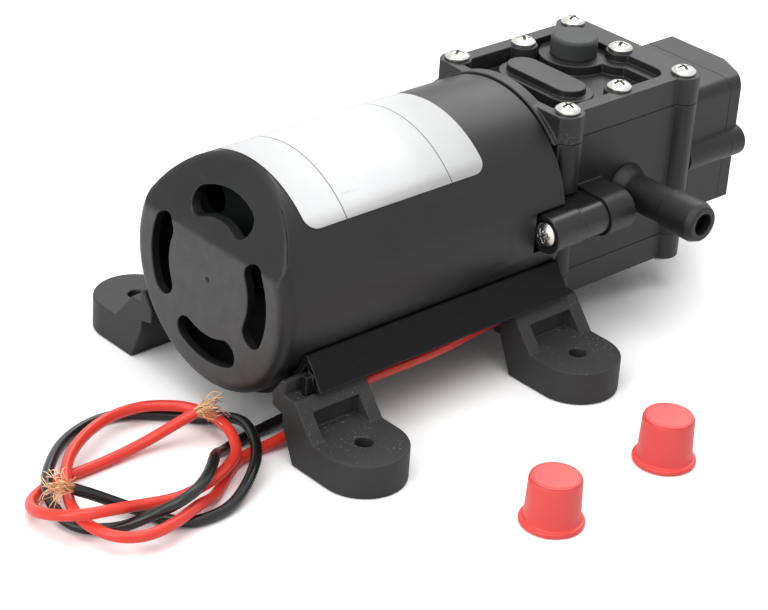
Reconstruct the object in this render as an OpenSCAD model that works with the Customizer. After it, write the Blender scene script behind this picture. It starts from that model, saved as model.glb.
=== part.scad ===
// Twelve-volt diaphragm water pump for caravans and campers.
// The motor axis runs along X, from the vented rear end to the pump head and the switch box.
// Z is up from the floor, and the origin is at the centre of the four foot holes, on the floor.

/* [Motor] */
// Height of the motor axis above the floor
axis_z = 34.5; // [34:0.5:38]
// Outer diameter of the motor sleeve
sleeve_d = 55; // [54:0.5:57]
// Wall of the motor sleeve
sleeve_wall = 2.2; // [1.8:0.1:2.6]
// Length of the motor sleeve
sleeve_len = 87; // [85:1:95]
// Rounding of the sleeve's rear edge
sleeve_round = 3.5; // [3:0.5:6]
// Thickness of the sleeve's closed rear end
sleeve_end = 2.5; // [2:0.1:3]
// Height above the motor axis from which the rear end leans forward
slant_up = 9; // [7:0.5:12]
// Lean of the upper part of the rear end
slant_angle = 28; // [15:1:30]
// Radius of the round along the slanted facet's edge
slant_round = 3.5; // [2:0.5:5]
// Distance from the sleeve's side in to the vents
vent_edge = 6.75; // [5.75:0.25:9]
// Radial width of a vent
vent_w = 6.5; // [4:0.5:7]
// Half of the angle between the centres of a vent's round ends
vent_half = 24; // [15:1:30]
// Wall of the steel motor can
can_wall = 1.5; // [1:0.1:2]
// Space between the leaning part of the sleeve's end and the motor can
can_space = 0.5; // [0.4:0.1:2]
// Thickness of a magnet
magnet_t = 3.2; // [2.5:0.1:4]
// Gap between the magnets and the armature
air_gap = 0.6; // [0.4:0.1:1]
// Distance from the can's rear end to the armature's core
core_rear = 21.75; // [21:0.25:26]
// Distance from the armature's core to the can's front end
core_front = 13.75; // [10:0.25:18]
// Number of slots in the armature
core_slots = 10; // [8:2:12]
// Diameter of the motor shaft
shaft_d = 5; // [4:0.5:5.5]
// Diameter of the commutator
commutator_d = 16; // [14:0.5:18]

/* [Label] */
// Length of the rating label along the sleeve
label_len = 54; // [45:1:58]
// Distance from the sleeve's rear face to the label
label_x = 11; // [8:1:16]
// Angle from the top of the sleeve to the label's near edge
label_near = 50; // [40:1:60]
// Angle from the top of the sleeve to the label's far edge
label_far = 26; // [20:1:40]
// Thickness of the label
label_t = 0.2; // [0.1:0.05:0.3]

/* [Base plate] */
// Thickness of the steel plate
plate_t = 1.5; // [1:0.1:2]
// Distance from the centre of the foot holes back to the plate's rear edge
plate_back = 38.5; // [37:0.5:42]
// Length of the plate
plate_len = 79; // [77:1:82]
// Distance from the plate's front edge to the sleeve's front end
plate_set = 0.5; // [0.2:0.1:2]
// Angle from the bottom of the sleeve to the folds of the plate
fold_angle = 68; // [66:0.5:70]
// Slope of the skirts below the horizontal
skirt_slope = 54; // [52:1:56]
// Width of a skirt from its fold to its lower edge
skirt_w = 8.6; // [8:0.1:9]
// Depth of the tabs that stand in the feet
tab_depth = 3.6; // [2.5:0.1:4]
// Width of the tabs that stand in the feet
tab_w = 13; // [10:0.5:13]
// Distance between the screws that hold the plate to the motor
base_screw_pitch = 40; // [30:1:50]

/* [Feet] */
// Distance between the foot holes along X
foot_pitch_x = 68; // [66:0.5:70]
// Distance between the foot holes along Y
foot_pitch_y = 84; // [84:0.5:88]
// Diameter of a foot hole
foot_hole_d = 4.2; // [3.5:0.1:5.5]
// Width of a foot
foot_w = 21; // [19:0.5:23]
// Height of the foot's screw tab
foot_tab_h = 8.5; // [6:0.5:9]
// Width of the pocket in the foot's riser
foot_pocket_w = 13.5; // [10:0.5:15]

/* [Pump head] */
// Gap between the sleeve's front end and the pump head
head_gap = 1.6; // [1:0.1:2]
// Distance between the corner screws along X
head_pitch_x = 41; // [40:0.5:44]
// Distance between the corner screws along Y
head_pitch_y = 38.4; // [37.5:0.1:40]
// Radius of the corner bosses
boss_r = 4.3; // [4:0.1:4.8]
// Half width of the pump head
head_half_w = 21; // [20.5:0.1:22.5]
// Distance from the motor axis to the faces that the covers meet
head_half_h = 18; // [18:0.1:19]
// Height of a cover
cover_h = 7; // [6.5:0.1:8]
// Distance from the head's centre to the middle screws on the near and far sides
side_screw_y = 16.6; // [16.4:0.1:17]
// Distance from the head's centre to the middle screw on the switch side
end_screw_x = 18; // [17.5:0.1:18.5]
// Radius of the sleeve that the ear screws pass through
ear_r = 4.8; // [4:0.1:5]
// Distance from the sleeve's side out to the ear screws
ear_out = 1; // [0.8:0.1:2]
// Length of the flange's ear along the sleeve
ear_len = 9.6; // [8:0.1:13]
// Length of the adapter plate along the motor axis
adapter_len = 8.3; // [7:0.1:9]
// Length of the pump body's ear
body_ear_len = 8.4; // [7:0.1:10]

/* [Ports] */
// Place of the ports along X, from the head's centre
port_x = 1.3; // [0:0.1:3]
// Distance from the motor axis to the end of a port
port_reach = 47; // [45:0.5:52]
// Length of a port's hose tail
tail_len = 10.4; // [9:0.1:12]
// Diameter of a port's hose tail
tail_d = 10.4; // [9.6:0.1:12]
// Diameter of a port's neck
neck_d = 9; // [8.6:0.1:10]
// Diameter of a port's bore
port_bore_d = 5.5; // [4.5:0.1:6]

/* [Drive] */
// Offset of the eccentric from the motor axis
throw = 1.5; // [1.2:0.1:1.5]
// Diameter of the eccentric
eccentric_d = 10; // [9.6:0.1:10.4]
// Outer diameter of the eccentric's bearing
eccentric_bearing_d = 15; // [14.6:0.1:15.2]
// Width of the yoke along the motor axis
yoke_w = 6; // [5:0.1:6.2]
// Wall of the yoke's ring
yoke_wall = 2; // [1.6:0.1:2]
// Thickness of a diaphragm
diaphragm_t = 1.5; // [1.2:0.1:1.6]
// Outer diameter of a diaphragm
diaphragm_d = 27.4; // [27:0.1:27.6]
// Diameter of the pump chamber
chamber_d = 24; // [23.8:0.1:24.4]

/* [Pressure switch] */
// Length of the switch housing along X
switch_len = 15.8; // [14:0.1:18]
// Length of the switch's end cover along X
switch_cover_len = 9; // [8:0.1:11]
// Near side of the switch box, from the motor axis
switch_near = 19; // [18.5:0.1:20]
// Far side of the switch box, from the motor axis
switch_far = 10; // [9:0.1:13]
// Distance from the motor axis down to the bottom of the switch box
switch_down = 15.5; // [15:0.1:16.5]
// Wall of the switch box
switch_wall = 2; // [1.6:0.1:2.4]
// Travel of the switch plunger
switch_travel = 1; // [0.6:0.1:1]

/* [Port caps] */
// Height of a port cap
cap_h = 12; // [11:0.5:16]
// Diameter of a port cap at its closed end
cap_top_d = 12; // [11.6:0.1:13]
// Diameter of a port cap's flange
cap_flange_d = 14.8; // [14.4:0.1:17]

/* [Leads] */
// Diameter of a lead over its insulation
lead_d = 2.6; // [2.2:0.1:3]
// Length of the bare copper at a lead's end
copper_len = 11; // [8:0.5:14]

/* [Hidden] */
$fn = 64;

// Colours, as seen
black_plastic = [0.10, 0.10, 0.105];
black_rubber = [0.13, 0.13, 0.13];
black_paint = [0.14, 0.14, 0.15];
grey_rubber = [0.30, 0.31, 0.31];
bright_steel = [0.75, 0.74, 0.71];
dark_steel = [0.35, 0.35, 0.36];
copper = [0.80, 0.48, 0.28];
cap_red = [0.95, 0.20, 0.20];
lead_red_colour = [0.90, 0.10, 0.08];
board_green = [0.10, 0.35, 0.22];

// Clearances
slip = 0.3;      // between a sliding or moving piece and its neighbour
snug = 0.05;     // between fixed pieces that are pressed or screwed together
running = 0.03;  // radial, between a shaft and its bearing
over = 1;        // how far a cut runs past the face it opens

// Lengths along the motor axis
sleeve_r = sleeve_d / 2;
can_r = sleeve_r - sleeve_wall - slip;
can_in = can_r - can_wall;
x_front = plate_len - plate_back + plate_set;
x_rear = x_front - sleeve_len;
x_head = x_front + head_gap;
x_adapter = x_head + adapter_len;
x_body_ear = x_adapter + body_ear_len;
x_head_end = x_head + 2 * boss_r + head_pitch_x;
head_cx = (x_head + x_head_end) / 2;
x_seam = x_head_end + switch_len;
x_switch_end = x_seam + switch_cover_len;
flange_t = 4.1;
x_can_front = x_head - flange_t;
x_can_rear = x_rear + (can_r - slant_up) * tan(slant_angle) + sleeve_end / cos(slant_angle) + can_space;
can_len = x_can_front - x_can_rear;
ear_y = sleeve_r + ear_out;
vent_circle = sleeve_r - vent_edge - vent_w / 2;
x_ear = x_head - ear_len;
ear_bore_depth = 1;
shaft_r = shaft_d / 2;

// Screw sizes
screw_r = 1.5;
screw_head_r = 3.1;
screw_head_h = 2;
head_dome_r = 4.6;
cross_w = 0.8;
cross_l = 3.6;
cross_depth = 1.2;
screw_grip = 10;
cover_screw_len = cover_h + screw_grip;
screw_hole_r = screw_r + snug;

// Places of the seven cover screws, from the head's centre
cover_screws = concat(
    [for (sx = [-1, 1], sy = [-1, 1]) [sx * head_pitch_x / 2, sy * head_pitch_y / 2]],
    [[0, side_screw_y], [0, -side_screw_y], [end_screw_x, 0]]
);

// A tube along Z between two heights, at a place in plan
module post(x, y, z, r, h) {
    translate([x, y, z])
        cylinder(r = r, h = h);
}

// A round bar along X at a height above the motor axis
module bar_x(x, r, len, y = 0, up = 0) {
    translate([x, y, axis_z + up])
        rotate([0, 90, 0])
            cylinder(r = r, h = len);
}

// A round bar along Y at the height of the motor axis
module bar_y(x, y, r, len, r_end = 0) {
    translate([x, y, axis_z])
        rotate([-90, 0, 0])
            cylinder(r1 = r, r2 = r_end > 0 ? r_end : r, h = len);
}

// A block between two corners
module block(x0, x1, y0, y1, z0, z1) {
    translate([x0, y0, z0])
        cube([x1 - x0, y1 - y0, z1 - z0]);
}

// An outline in Y and Z about the motor axis, drawn out along X
module section_x(x, len) {
    translate([x, 0, axis_z])
        rotate([90, 0, 90])
            linear_extrude(len)
                children();
}

// A ring outline between two radii
module ring_2d(r_out, r_in) {
    difference() {
        circle(r_out);
        circle(r_in);
    }
}

// A wedge outline from the centre, used to cut rings to an angle
module wedge_2d(from, to, reach) {
    steps = 6;
    polygon(concat([[0, 0]], [
        for (i = [0:steps])
            let (a = from + (to - from) * i / steps)
            reach * [cos(a), sin(a)]
    ]));
}

// An outline with rounded ends, its length along the second axis
module stadium_2d(w, len) {
    square([w, len - w], center = true);
    for (s = [-1, 1])
        translate([0, s * (len - w) / 2])
            circle(w / 2);
}

// A pan-head screw with a cross recess, its head up and the origin under the head
module pan_screw(len) {
    difference() {
        union() {
            intersection() {
                cylinder(r = screw_head_r, h = screw_head_h);
                translate([0, 0, screw_head_h - head_dome_r])
                    sphere(head_dome_r);
            }
            translate([0, 0, -len])
                cylinder(r = screw_r, h = len);
        }
        for (a = [0, 90])
            rotate(a)
                translate([-cross_l / 2, -cross_w / 2, screw_head_h - cross_depth])
                    cube([cross_l, cross_w, cross_depth + over]);
    }
}

// A kidney-shaped vent, on the first axis: two arcs about the motor axis, joined by round ends
vent_step = 8;
function arc_points(centre, r, from, to) =
    let (n = max(4, ceil(abs(to - from) / vent_step)))
    [for (i = [0:n]) let (a = from + (to - from) * i / n) centre + r * [cos(a), sin(a)]];
module vent_2d() {
    end = vent_circle * [cos(vent_half), sin(vent_half)];
    start = vent_circle * [cos(vent_half), -sin(vent_half)];
    end_turn = 2 * vent_step;
    polygon(concat(
        arc_points([0, 0], vent_circle + vent_w / 2, -vent_half, vent_half),
        arc_points(end, vent_w / 2, vent_half + end_turn, vent_half + 180 - end_turn),
        arc_points([0, 0], vent_circle - vent_w / 2, vent_half, -vent_half),
        arc_points(start, vent_w / 2, 180 - vent_half + end_turn, 360 - vent_half - end_turn)
    ));
}

// Where the leads leave the motor, on the near side below the sleeve
grommet_back = 6.5;
grommet_x = x_can_front - grommet_back;
grommet_angle = 41;
grommet_r = 3.6;
barrel_r = 3.5;

// Turns a piece that stands along Z to point out of the grommet's place
module at_grommet() {
    translate([grommet_x, 0, axis_z])
        rotate([180 - grommet_angle, 0, 0])
            children();
}

// Motor sleeve, with its vents and the notches for the flange's ears
notch_x = x_ear + ear_bore_depth - screw_head_h - slip;
flat_len = 10.5;
flat_x = x_ear - flat_len;
flat_depth = 0.6;
flat_half = 7;
dimple_r = 0.6;
dimple_depth = 0.6;
module slant_cut(x) {
    translate([x, 0, axis_z + slant_up])
        rotate([0, slant_angle, 0])
            block(-sleeve_d, 0, -sleeve_d, sleeve_d, 0, sleeve_d);
}

// Round along the facet's edge, turned about the circle that fits that edge best
slant_reach = (sleeve_r - slant_up) / cos(slant_angle);
rim_r = (slant_reach * slant_reach + sleeve_r * sleeve_r - slant_up * slant_up) / (2 * slant_reach);
rim_turn = 90 - slant_angle;
rim_in = slant_round * tan(rim_turn / 2);
rim_depth = slant_round * (1 - cos(rim_turn));
module slant_rim() {
    translate([x_rear, 0, axis_z + slant_up])
        rotate([0, slant_angle, 0])
            translate([0, 0, slant_reach - rim_r])
                rotate([0, -90, 0])
                    rotate_extrude()
                        difference() {
                            translate([rim_r - rim_in, -rim_depth])
                                square([rim_in + slant_round, rim_depth + over]);
                            translate([rim_r - rim_in, -slant_round])
                                circle(slant_round);
                        }
}
module motor_sleeve() {
    color(black_plastic)
    difference() {
        union() {
            bar_x(x_rear + sleeve_round, sleeve_r, sleeve_len - sleeve_round);
            bar_x(x_rear, sleeve_r - sleeve_round, sleeve_round);
            translate([x_rear + sleeve_round, 0, axis_z])
                rotate([0, 90, 0])
                    rotate_extrude()
                        translate([sleeve_r - sleeve_round, 0])
                            circle(sleeve_round);
        }
        slant_cut(x_rear);
        slant_rim();
        difference() {
            bar_x(x_rear + sleeve_end, sleeve_r - sleeve_wall, sleeve_len);
            slant_cut(x_rear + sleeve_end / cos(slant_angle));
        }
        bar_x(x_rear - over, dimple_r, over + dimple_depth);
        section_x(x_rear - over, x_can_rear - x_rear + over)
            for (a = [0:90:270])
                rotate(a)
                    vent_2d();
        for (s = [-1, 1]) {
            section_x(notch_x, sleeve_len)
                translate([s > 0 ? can_r / 2 : -sleeve_d, -ear_r - slip])
                    square([sleeve_d - can_r / 2, 2 * (ear_r + slip)]);
            section_x(flat_x, sleeve_len)
                translate([s * (sleeve_r - flat_depth + flat_half), 0])
                    square(2 * flat_half, center = true);
        }
        for (s = [-1, 1])
            post(s * base_screw_pitch / 2, 0, 0, base_screw_r + slip, axis_z);
        at_grommet()
            cylinder(r = grommet_r + snug, h = sleeve_d);
    }
}

// Rating label, a thin sheet wrapped over the top of the sleeve
module rating_label() {
    color("white")
    section_x(x_rear + label_x, label_len)
        intersection() {
            ring_2d(sleeve_r + snug + label_t, sleeve_r + snug);
            wedge_2d(90 - label_far, 90 + label_near, sleeve_d);
        }
}

// Base plate: a trough that cradles the sleeve, folded out into two sloping skirts
trough_in = sleeve_r + snug;
trough_out = trough_in + plate_t;
trough_mid = trough_in + plate_t / 2;
base_screw_r = 2;
base_head_r = 3.6;
base_head_h = 2;
module skirt_strip_2d(len, t) {
    translate(trough_mid * [sin(fold_angle), -cos(fold_angle)])
        rotate(-skirt_slope)
            translate([0, -t / 2])
                square([len, t]);
}
// A tab straight down from under a skirt, with a gap round it where it cuts a slot
tab_in = 2.9;
module tab_2d(gap) {
    z0 = skirt_foot_z - axis_z - tab_depth - gap;
    z1 = skirt_foot_z - axis_z + tab_in * tan(skirt_slope);
    translate([skirt_foot_y - tab_in - plate_t / 2 - gap, z0])
        square([plate_t + 2 * gap, z1 - z0]);
}
module both_sides_2d() {
    children();
    mirror([1, 0])
        children();
}
module base_plate() {
    color(black_paint)
    difference() {
        union() {
            section_x(-plate_back, plate_len) {
                intersection() {
                    ring_2d(trough_out, trough_in);
                    wedge_2d(-90 - fold_angle, -90 + fold_angle, sleeve_d);
                }
                both_sides_2d() {
                    skirt_strip_2d(skirt_w, plate_t);
                    translate(trough_mid * [sin(fold_angle), -cos(fold_angle)])
                        circle(plate_t / 2);
                }
            }
            for (s = [-1, 1])
                section_x(s * foot_pitch_x / 2 - tab_w / 2, tab_w)
                    both_sides_2d()
                        tab_2d(0);
        }
        for (s = [-1, 1])
            post(s * base_screw_pitch / 2, 0, 0, base_screw_r + slip, axis_z);
        at_grommet()
            cylinder(r = grommet_r + snug, h = sleeve_d);
    }
}

// Screws that hold the plate and the sleeve to the motor can
module base_screws() {
    top = axis_z - can_in;
    under = axis_z - trough_out - snug;
    color(bright_steel)
    for (s = [-1, 1])
        difference() {
            union() {
                post(s * base_screw_pitch / 2, 0, under - base_head_h, base_head_r, base_head_h);
                post(s * base_screw_pitch / 2, 0, under, base_screw_r, top - under);
            }
            translate([s * base_screw_pitch / 2, 0, under - base_head_h])
                for (a = [0, 90])
                    rotate(a)
                        cube([cross_l, cross_w, 2 * cross_depth], center = true);
        }
}

// Feet: a rubber block with a screw tab, a sloping riser, a slot for the plate's tab, and on the
// rear ones a rib that reaches up to the trough
foot_r = foot_w / 2;
skirt_foot_y = trough_mid * sin(fold_angle) + skirt_w * cos(skirt_slope);
skirt_foot_z = axis_z - trough_mid * cos(fold_angle) - skirt_w * sin(skirt_slope);
riser_top = skirt_foot_z - snug - plate_t / 2 * cos(skirt_slope);
riser_back = 1.15;
riser_run = 6.5;
foot_set = 1.3;
knee_z = 9;
knee_back = 5.3;
ledge_z = 11.4;
ledge_rise = 1;
rib_h = 3.5;
rib_back = 4.8;
rib_t = 4.2;
riser_out = skirt_foot_y - riser_back;
riser_foot = riser_out + riser_run;
foot_in = skirt_foot_y - foot_set;
knee_in = skirt_foot_y - knee_back;
rib_out = skirt_foot_y - rib_back;
rib_in = rib_out - rib_t;
rib_top = riser_top + rib_h;
rib_line = [
    [rib_out, riser_top], [rib_out, rib_top], [rib_in, rib_top],
    [rib_in, ledge_z + ledge_rise], [knee_in, ledge_z]
];
pocket_h = 5.1;
pocket_depth = 5.6;
module foot(sx, sy) {
    hole_x = sx * foot_pitch_x / 2;
    color(black_rubber)
    difference() {
        union() {
            translate([hole_x - foot_r, 0, 0])
                rotate([90, 0, 90])
                    linear_extrude(foot_w)
                        scale([sy, 1])
                            polygon([
                                [foot_in, 0], [foot_pitch_y / 2, 0], [foot_pitch_y / 2, foot_tab_h],
                                [riser_foot, foot_tab_h], [riser_out, riser_top],
                                each (sx < 0 ? rib_line : [[knee_in, riser_top]]), [knee_in, knee_z]
                            ]);
            post(hole_x, sy * foot_pitch_y / 2, 0, foot_r, foot_tab_h);
        }
        post(hole_x, sy * foot_pitch_y / 2, -over, foot_hole_d / 2, foot_tab_h + 2 * over);
        translate([hole_x - foot_pocket_w / 2, 0, 0])
            rotate([90, 0, 90])
                linear_extrude(foot_pocket_w)
                    scale([sy, 1])
                        translate([riser_foot - pocket_depth, foot_tab_h])
                            square([2 * pocket_depth, pocket_h]);
        section_x(hole_x - tab_w / 2 - snug, tab_w + 2 * snug)
            scale([sy, 1])
                tab_2d(snug);
        bar_x(hole_x - foot_w, trough_out + snug, 2 * foot_w);
    }
}
module foot_rear_near() { foot(-1, -1); }
module foot_rear_far() { foot(-1, 1); }
module foot_front_near() { foot(1, -1); }
module foot_front_far() { foot(1, 1); }

// Steel motor can, open at the rear
can_hole_r = 7;
module motor_can() {
    color(dark_steel)
    difference() {
        bar_x(x_can_rear, can_r, can_len);
        bar_x(x_can_rear - over, can_in, can_len - can_wall + over);
        bar_x(x_can_rear, can_hole_r, can_len + over);
        for (s = [-1, 1])
            post(s * base_screw_pitch / 2, 0, 0, base_screw_r + snug, axis_z - can_in + over);
        at_grommet()
            cylinder(r = grommet_r + snug, h = sleeve_d);
    }
}

// The two magnets, curved blocks on the near and far sides of the can
magnet_half = 36;
magnet_out = can_in - snug;
magnet_in = magnet_out - magnet_t;
core_r = magnet_in - air_gap;
core_x = x_can_rear + core_rear;
core_len = can_len - core_rear - core_front;
magnet_over = 3;
module magnets() {
    color([0.22, 0.21, 0.20])
    for (s = [0, 180])
        section_x(core_x - magnet_over, core_len + 2 * magnet_over)
            intersection() {
                ring_2d(magnet_out, magnet_in);
                wedge_2d(s - magnet_half, s + magnet_half, sleeve_d);
            }
}

// Armature core, with round slots open to its rim
slot_r = 2.3;
slot_mouth = 1.4;
slot_rim = 1.2;
slot_ring = core_r - slot_r - slot_rim;
module armature_core() {
    color(dark_steel)
    section_x(core_x, core_len)
        difference() {
            circle(core_r);
            circle(shaft_r + snug);
            for (i = [0:core_slots - 1])
                rotate(360 / core_slots * i) {
                    translate([slot_ring, 0])
                        circle(slot_r);
                    translate([slot_ring, -slot_mouth / 2])
                        square([core_r, slot_mouth]);
                }
        }
}

// Copper winding: a round coil head against each end of the core
winding_t = 7;
winding_in = 6;
winding_inset = 1.5;
winding_out = core_r - winding_inset;
module armature_winding() {
    color(copper)
    for (x = [core_x - winding_t, core_x + core_len])
        section_x(x, winding_t)
            ring_2d(winding_out, winding_in);
}

// Commutator, on the shaft behind the winding
commutator_len = 10;
commutator_gap = 0.5;
commutator_x = core_x - winding_t - commutator_len - commutator_gap;
commutator_bars = 10;
bar_slot = 0.6;
module commutator() {
    color(copper)
    section_x(commutator_x, commutator_len)
        difference() {
            circle(commutator_d / 2);
            circle(shaft_r + snug);
            for (i = [0:commutator_bars - 1])
                rotate(360 / commutator_bars * i)
                    translate([commutator_d / 2 - bar_slot, -bar_slot / 2])
                        square([2 * bar_slot, bar_slot]);
        }
}

// Brush board: the end plate of the motor, with the brush holders and the bearing's boss
board_t = 3;
board_r = can_in - snug;
holder_w = 7;
holder_wall = 1.2;
brush_w = holder_w - 2 * holder_wall;
brush_x = commutator_x + (commutator_len - brush_w) / 2;
brush_in = commutator_d / 2 + slip;
brush_len = 8;
brush_show = 1;
bearing_boss_r = 7;
bearing_boss_len = 3.5;
rear_bearing_r = 5;
bearing_lip = 1;
rear_bearing_len = board_t + bearing_boss_len - bearing_lip;
vent_hole_r = 3.6;
module brush_board() {
    holder_x = x_can_rear + board_t;
    holder_len = brush_x + brush_w + holder_wall - holder_x;
    color(board_green)
    difference() {
        union() {
            bar_x(x_can_rear, board_r, board_t);
            bar_x(x_can_rear - bearing_boss_len, bearing_boss_r, bearing_boss_len);
            for (s = [-1, 1])
                block(holder_x, holder_x + holder_len,
                    s > 0 ? brush_in + brush_show : -brush_in - brush_show - brush_len,
                    s > 0 ? brush_in + brush_show + brush_len : -brush_in - brush_show,
                    axis_z - holder_w / 2, axis_z + holder_w / 2);
        }
        bar_x(x_can_rear - bearing_boss_len + bearing_lip, rear_bearing_r, rear_bearing_len + over);
        bar_x(x_can_rear - bearing_boss_len - over, shaft_r + slip, board_t + bearing_boss_len + 2 * over);
        block(brush_x - snug, brush_x + brush_w + snug, -can_r, can_r,
            axis_z - brush_w / 2 - snug, axis_z + brush_w / 2 + snug);
        for (a = [45:90:315])
            section_x(x_can_rear - over, board_t + 2 * over)
                rotate(a)
                    translate([vent_circle, 0])
                        circle(vent_hole_r);
    }
}

// Carbon brushes, held against the commutator
module brushes() {
    color([0.18, 0.17, 0.17])
    for (s = [-1, 1])
        block(brush_x, brush_x + brush_w, s > 0 ? brush_in : -brush_in - brush_len,
            s > 0 ? brush_in + brush_len : -brush_in, axis_z - brush_w / 2, axis_z + brush_w / 2);
}

// Sintered bush at the rear of the shaft
module rear_bearing() {
    color([0.62, 0.50, 0.30])
    section_x(x_can_rear - bearing_boss_len + bearing_lip, rear_bearing_len)
        ring_2d(rear_bearing_r - snug, shaft_r + running);
}

// Ball bearing in the adapter plate, drawn as one ring with grooved faces
front_bearing_r = 8;
front_bearing_w = 5;
module front_bearing() {
    color(bright_steel)
    section_x(x_adapter - front_bearing_w, front_bearing_w)
        ring_2d(front_bearing_r - snug, shaft_r + running);
}

// Motor shaft, from the rear bush to the eccentric
eccentric_len = 8;
shaft_end_gap = 1.5;
module motor_shaft() {
    x0 = x_can_rear - bearing_boss_len + shaft_end_gap;
    color(bright_steel)
    bar_x(x0, shaft_r, head_cx + eccentric_len / 2 + shaft_end_gap - x0);
}

// Eccentric on the end of the shaft, at its highest point
module eccentric() {
    color(dark_steel)
    difference() {
        bar_x(head_cx - eccentric_len / 2, eccentric_d / 2, eccentric_len, 0, throw);
        bar_x(head_cx - eccentric_len / 2 - over, shaft_r + snug / 5, eccentric_len + 2 * over);
    }
}

// Heights of the pumping parts, measured from the middle of the yoke
yoke_r = eccentric_bearing_d / 2 + yoke_wall;
pad_rise = 0.6;
pad_face = yoke_r + pad_rise;
pad_t = 1.2;
pad_r = 6;
neck_r = 2;
retainer_t = 1.6;
retainer_from = pad_face + diaphragm_t + 2 * slip;
retainer_to = retainer_from + retainer_t;

// Heights of the fixed parts of a pump chamber, measured from the motor axis
seat_h = pad_face + slip;
valve_face = retainer_to + throw + slip;

// Bearing that turns on the eccentric
eccentric_bearing_w = 4;
module eccentric_bearing() {
    color(bright_steel)
    translate([0, 0, throw])
        section_x(head_cx - eccentric_bearing_w / 2, eccentric_bearing_w)
            ring_2d(eccentric_bearing_d / 2 - snug / 5, eccentric_d / 2 + running);
}

// Draws one thing above and its mirror image below the yoke's centre
module above_and_below() {
    for (m = [0, 1])
        translate([head_cx, 0, axis_z + throw])
            mirror([0, 0, m])
                children();
}

// Yoke: a ring round the bearing with a pad at the top and the bottom
tap_r = 1.25;
module yoke() {
    color([0.82, 0.80, 0.74])
    difference() {
        union() {
            translate([0, 0, throw])
                bar_x(head_cx - yoke_w / 2, yoke_r, yoke_w);
            above_and_below() {
                translate([0, 0, pad_face - pad_t])
                    cylinder(r = pad_r, h = pad_t);
                translate([0, 0, pad_face])
                    cylinder(r = neck_r, h = retainer_from - pad_face);
            }
        }
        translate([0, 0, throw])
            bar_x(head_cx - yoke_w, eccentric_bearing_d / 2, 2 * yoke_w);
        above_and_below()
            translate([0, 0, yoke_r - pad_t - yoke_wall])
                cylinder(r = tap_r + snug, h = retainer_to);
    }
}

// Retainer that clamps the middle of a diaphragm to the yoke
csk_r = 2.8;
module retainer() {
    difference() {
        cylinder(r = pad_r, h = retainer_t);
        translate([0, 0, -over])
            cylinder(r = tap_r + snug, h = retainer_t + 2 * over);
        translate([0, 0, retainer_t - (csk_r - tap_r)])
            cylinder(r1 = tap_r, r2 = csk_r + snug, h = csk_r - tap_r);
    }
}
module upper_retainer() {
    color([0.82, 0.80, 0.74])
    translate([head_cx, 0, axis_z + throw + retainer_from])
        retainer();
}
module lower_retainer() {
    color([0.82, 0.80, 0.74])
    translate([head_cx, 0, axis_z + throw - retainer_from])
        mirror([0, 0, 1])
            retainer();
}

// Countersunk screws through the retainers into the yoke
module retainer_screws() {
    color(bright_steel)
    above_and_below() {
        translate([0, 0, eccentric_bearing_d / 2 + snug])
            cylinder(r = tap_r, h = retainer_to - (csk_r - tap_r) - eccentric_bearing_d / 2 - snug);
        translate([0, 0, retainer_to - (csk_r - tap_r)])
            cylinder(r1 = tap_r, r2 = csk_r, h = csk_r - tap_r);
    }
}

// Two ears on the near and far sides, with a web back towards the motor axis
ear_step = 0.35;
module ears_2d(web_from, r = ear_r) {
    for (s = [-1, 1]) {
        translate([s * ear_y, 0])
            circle(r);
        translate([s > 0 ? web_from : -ear_y, -r])
            square([ear_y - web_from, 2 * r]);
    }
}
module ear_holes(x, len) {
    for (s = [-1, 1])
        bar_x(x, screw_hole_r, len, s * ear_y);
}

// Motor flange: the front plate of the motor, with ears that reach back along the sleeve
shaft_clear = 2.5;
module motor_flange() {
    color(black_plastic)
    difference() {
        union() {
            bar_x(x_can_front, can_r, flange_t);
            section_x(x_can_front, flange_t)
                ears_2d(can_r / 2);
            section_x(x_ear, ear_len)
                difference() {
                    ears_2d(can_r / 2);
                    circle(can_r + slip);
                }
        }
        bar_x(x_can_front - over, shaft_r + shaft_clear, flange_t + 2 * over);
        ear_holes(x_ear - over, ear_len + 2 * over);
        for (s = [-1, 1])
            bar_x(x_ear - over, screw_head_r + slip, over + ear_bore_depth, s * ear_y);
    }
}

// Adapter plate between the motor and the pump body, with the front bearing in it
spigot_r = 9.9;
module adapter_plate() {
    color(black_plastic)
    difference() {
        section_x(x_head, adapter_len) {
            circle(spigot_r);
            ears_2d(0, ear_r - ear_step);
        }
        bar_x(x_adapter - front_bearing_w, front_bearing_r, front_bearing_w + over);
        bar_x(x_head - over, shaft_r + shaft_clear, adapter_len + 2 * over);
        ear_holes(x_head - over, adapter_len + 2 * over);
    }
}

// Long screws through the ears, with their heads towards the motor's rear
ear_screw_short = 2;
ear_screw_turn = 20;
ear_screw_len = ear_len - ear_bore_depth + adapter_len + body_ear_len - ear_screw_short;
module ear_screws() {
    color(bright_steel)
    for (s = [-1, 1])
        translate([x_ear + ear_bore_depth, s * ear_y, axis_z])
            rotate([0, -90, 0])
                rotate(ear_screw_turn)
                    pan_screw(ear_screw_len);
}

// Plan of the pump head, from its centre
module head_plan_2d() {
    square([x_head_end - x_head, 2 * head_half_w], center = true);
    for (sx = [-1, 1], sy = [-1, 1])
        translate([sx * head_pitch_x / 2, sy * head_pitch_y / 2])
            circle(boss_r);
}

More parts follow.
